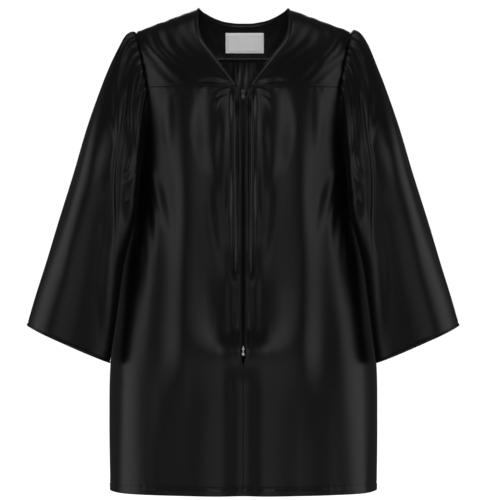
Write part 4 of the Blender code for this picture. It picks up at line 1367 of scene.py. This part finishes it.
label_finish = woven("label_weave", (0.66, 0.66, 0.67, 1), (0.84, 0.84, 0.85, 1), 0.62, 420.0)
uv = label_finish.node("ShaderNodeUVMap", {"uv_map": "cut"}, {})
across = label_finish.node("ShaderNodeSeparateXYZ", {}, {0: uv}, "X")
up = label_finish.node("ShaderNodeSeparateXYZ", {}, {0: uv}, "Y")


def within(value, low, high):
    over = label_finish.node("ShaderNodeMath", {"operation": "GREATER_THAN"}, {0: value, 1: low})
    return over * label_finish.node("ShaderNodeMath", {"operation": "LESS_THAN"}, {0: value, 1: high})


def inside_by(inset):
    """One where the label is further than this from all its edges, and nothing elsewhere."""
    return within(across, inset, LABEL_WIDTH - inset) * within(up, inset, LABEL_HEIGHT - inset)


border = inside_by(0.0030) * (1 - inside_by(0.0038))
border = border + 0.6 * inside_by(0.0046) * (1 - inside_by(0.0050))
shade = label_finish.noise(label_finish.cut(), 1500.0, 2.0)
weave = label_finish.mix(shade, (0.70, 0.70, 0.71, 1), (0.84, 0.84, 0.85, 1))
label_finish.feed("Base Color", label_finish.mix(0.45 * border, weave, (0.45, 0.45, 0.47, 1)))

x = LABEL_CENTRE + LABEL_WIDTH * np.linspace(-0.5, 0.5, LABEL_COLUMNS + 1)
drops = np.linspace(LABEL_FOOT, LABEL_TOP, LABEL_ROWS + 1)
label_base = np.array([yoke_place(x, turn_at_level(x, drop, BACK), BACK) for drop in drops])
column, row = np.arange(LABEL_COLUMNS + 1), np.arange(LABEL_ROWS + 1)
edge_x = np.minimum(column, LABEL_COLUMNS - column)[None] * LABEL_WIDTH / LABEL_COLUMNS
edge_y = np.minimum(row, LABEL_ROWS - row)[:, None] * LABEL_HEIGHT / LABEL_ROWS
puff = 0.0006 * smooth_step(edge_x / 0.006) * smooth_step(edge_y / 0.006)
puff = puff * (1 + 0.3 * ripple(edge_x, edge_y, 3, 0.02, 0.02))
label_normals = facing(label_base, grid_normals(label_base), BACK_OUT)
label_points = label_base - label_normals * (LABEL_DEPTH + puff)[..., None]
label_sides = (label_finish.material, label_finish.material)
label = cloth(
    "neck_label_weave", label_points, flat_of(label_points), "neck_label", STRAIGHT_OUT,
    thickness=0.0005, sides=label_sides,
)


# %% [markdown]
# ## Stitches
#
# The sewn lines of the hems, the cuffs and beside the zip are rows of short threads, sunk a little into the
# groove that they pull. Each is a small rod with round ends, laid along the line and turned to the cloth.

# %% Rows of stitches along lines of points
STITCH_PITCH = 0.0030
STITCH_SINK = 0.0001


def stitch_places(line, normals):
    """Where the threads lie on a line of points: each one's origin and its three directions."""
    along = distance_along(line)
    middles = np.arange(STITCH_PITCH / 2, along[-1], STITCH_PITCH)

    def at(values, distance):
        return np.stack([np.interp(distance, along, values[:, k]) for k in range(3)], -1)

    centres, outs = at(line, middles), unit(at(normals, middles))
    ways = unit(at(line, middles + 0.0004) - at(line, middles - 0.0004))
    return list(zip(centres - outs * STITCH_SINK, ways, unit(np.cross(outs, ways)), outs))


def mirrored_places(places):
    flip = np.array([-1, 1, 1])
    return [(origin * flip, way * flip, side * flip, out * flip) for origin, way, side, out in places]


stitch = capsule(0.0018, 0.00022, 6, 2)
hem_row_front = nearest(front_levels[0], HEM - HEM_BAND)
hem_row_back = nearest(back_levels[0], HEM - HEM_BAND)
front_out = facing(front_points, grid_normals(front_points), FRONT_OUT)
back_out = facing(back_points, grid_normals(back_points), BACK_OUT)
front_hem = stitch_places(front_points[hem_row_front], front_out[hem_row_front])
hem_places = front_hem + mirrored_places(front_hem)
hem_places += stitch_places(back_points[hem_row_back], back_out[hem_row_back])
hem_threads = many("hem_stitches", stitch, hem_places, THREAD)

cuff_row = nearest(sleeve_along * SLEEVE_LENGTH, SLEEVE_LENGTH - CUFF_BAND) + 1
sleeve_out = facing(sleeve_points, grid_normals(sleeve_points, True), outward)
ring_line = np.concatenate([sleeve_points[cuff_row], sleeve_points[cuff_row, :1]])
ring_out = np.concatenate([sleeve_out[cuff_row], sleeve_out[cuff_row, :1]])
cuff_places = stitch_places(ring_line, ring_out)
cuff_threads = [
    many("cuff_stitches_left", stitch, cuff_places, THREAD),
    many("cuff_stitches_right", stitch, mirrored_places(cuff_places), THREAD),
]

beside_zip = front_across[60]
zip_column = nearest(beside_zip - beside_zip[0], ZIP_BAND)
above_foot = front_levels[0] < 0.590
zip_places = stitch_places(front_points[above_foot, zip_column], front_out[above_foot, zip_column])
many("zip_stitches", stitch, zip_places + mirrored_places(zip_places), THREAD)

# %% [markdown]
# ## What the sheets were cut from
#
# The size that each piece of cloth was cut to is measured and printed, with its area. The sizes are measured
# on
# the modelled cloth: the gathered pieces were wider before they were drawn up into their seams.

# %% Measure every sheet and print its size
def surface_area(points, closed=False):
    if closed:
        points = np.concatenate([points, points[:, :1]], axis=1)
    across = points[:-1, 1:] - points[:-1, :-1]
    down = points[1:, :-1] - points[:-1, :-1]
    return float(np.linalg.norm(np.cross(across, down), axis=-1).sum())


def longest(points, axis, closed=False):
    if closed and axis == 1:
        points = np.concatenate([points, points[:, :1]], axis=1)
    return float(np.linalg.norm(np.diff(points, axis=axis), axis=-1).sum(axis).max())


def declare(piece, points, rests_on=(), closed=False):
    width, length = longest(points, 1, closed), longest(points, 0, closed)
    area = min(surface_area(points, closed), width * length)
    print(piece.name, "cut", round(width, 3), "x", round(length, 3), "m, area", round(area, 4))


declare(back, back_points, ["yoke_back_cloth"])
for side in ("left", "right"):
    hangs_from = ["yoke_front_" + side + "_cloth", "back_cloth"]
    declare(fronts["front_" + side], front_points, hangs_from[:1])
    cuff = cuff_threads[0 if side == "left" else 1]
    declare(sleeves["sleeve_" + side], sleeve_points, hangs_from, closed=True)
    declare(yokes["yoke_front_" + side], front_yoke_base, ["yoke_back_cloth"])
    declare(bpy.data.objects["zip_tape_" + side + "_weave"], tape, ["front_" + side + "_cloth"])
declare(yokes["yoke_back"], back_yoke_points)
declare(label, label_points, ["yoke_back_cloth"])

# %% [markdown]
# ## Floor, light and camera
#
# The gown is photographed straight on against white, with a tall soft light on each side a little in front
# of it. On black satin the lights themselves are what is seen, mirrored on the sides of the sleeves and on
# the crests of the folds, so their size and height matter more than their strength. A wide low light is
# mirrored by the skirt, and two small ones reach only the label and the inside of the back, at the neck.

# %% Floor and surroundings
floor_finish = Finish("pale_floor", roughness=0.9, emission_strength=1.0)
floor_grain = floor_finish.noise(floor_finish.place(), 3.0)
floor_finish.feed("Base Color", floor_finish.mix(floor_grain, (0.86, 0.86, 0.86, 1), (0.90, 0.90, 0.90, 1)))
floor_finish.feed("Emission Color", floor_finish.mix(floor_grain, (0.97, 0.97, 0.97, 1), (1, 1, 1, 1)))
bpy.ops.mesh.primitive_circle_add(vertices=96, radius=3.0, fill_type="NGON", location=(0, 0, -0.90))
floor = bpy.context.object
floor.name = "floor"
floor.data.materials.append(floor_finish.material)
floor.visible_glossy = floor.visible_diffuse = floor.visible_shadow = False
floor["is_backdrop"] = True

WORLD_WHITE = 1.05
WORLD_FILL = 0.05
bpy.context.scene.view_settings.view_transform = "Standard"
world = bpy.data.worlds.new("studio")
bpy.context.scene.world = world
world.use_nodes = True
nodes, links = world.node_tree.nodes, world.node_tree.links
seen = nodes.new("ShaderNodeLightPath")
strength = nodes.new("ShaderNodeMapRange")
links.new(seen.outputs["Is Camera Ray"], strength.inputs["Value"])
strength.inputs["To Min"].default_value = WORLD_FILL
strength.inputs["To Max"].default_value = WORLD_WHITE
links.new(strength.outputs["Result"], nodes["Background"].inputs["Strength"])
nodes["Background"].inputs["Color"].default_value = (1, 1, 1, 1)
print("floor and surroundings ready")


# %% Soft lights
def soft_light(name, location, target, size, power):
    data = bpy.data.lights.new(name, "AREA")
    data.shape = "RECTANGLE"
    data.size, data.size_y = size
    data.energy = power
    lamp = linked(name, data)
    lamp.location = location
    aim = mathutils.Vector(target) - mathutils.Vector(location)
    lamp.rotation_euler = aim.to_track_quat("-Z", "Y").to_euler()
    lamp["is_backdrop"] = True
    return lamp


SIDE_SIZE = (2.0, 2.4)
soft_light("side_light_left", (-2.0, -0.45, -0.30), (0, 0, -0.40), SIDE_SIZE, 11.5)
soft_light("side_light_right", (2.0, -0.45, -0.30), (0, 0, -0.40), SIDE_SIZE, 11.5)
soft_light("front_light", (0, -4.3, 0.95), (0, 0, -0.40), (1.5, 1.4), 10)
soft_light("back_light", (0, 4.0, 1.30), (0, 0, -0.40), (1.8, 1.4), 14)
soft_light("top_light", (0, -0.6, 2.4), (0, 0, -0.30), (2.4, 1.2), 6)
soft_light("low_light", (0, -4.3, -1.12), (0, 0, -1.12), (4.6, 0.9), 8)


def light_only(lamp, pieces):
    """Lets a lamp light these pieces and no others."""
    lit = bpy.data.collections.new("lit_by_" + lamp.name)
    for piece in pieces:
        lit.objects.link(piece)
    lamp.light_linking.receiver_collection = lit


BEFORE_NECK = (0, -0.9, 0.25)
IN_NECK = (0, 0.06, -0.05)
label_light = soft_light("label_light", BEFORE_NECK, IN_NECK, (0.4, 0.4), 7.5)
light_only(label_light, [label])
neck_light = soft_light("neck_light", BEFORE_NECK, IN_NECK, (0.5, 0.5), 4)
light_only(neck_light, [back, yokes["yoke_back"]])

# %% Camera at the photograph's viewpoint
camera_data = bpy.data.cameras.new("camera")
camera_data.lens = 167.4
camera_data.sensor_width = 36
camera = linked("camera", camera_data)
camera.location = (0.0113, -4.0, -0.415)
camera.rotation_euler = (math.pi / 2, 0, 0)
bpy.context.scene.camera = camera
print("camera", tuple(round(v, 3) for v in camera.location))

# %% Sizes, and finish
visual_low, visual_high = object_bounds()
sizes = {"cad": [list(cad_low), list(cad_high)], "visual": [list(visual_low), list(visual_high)]}
for which, (low, high) in sizes.items():
    print(which, [round(1000 * (top - foot), 1) for foot, top in zip(low, high)], "mm")
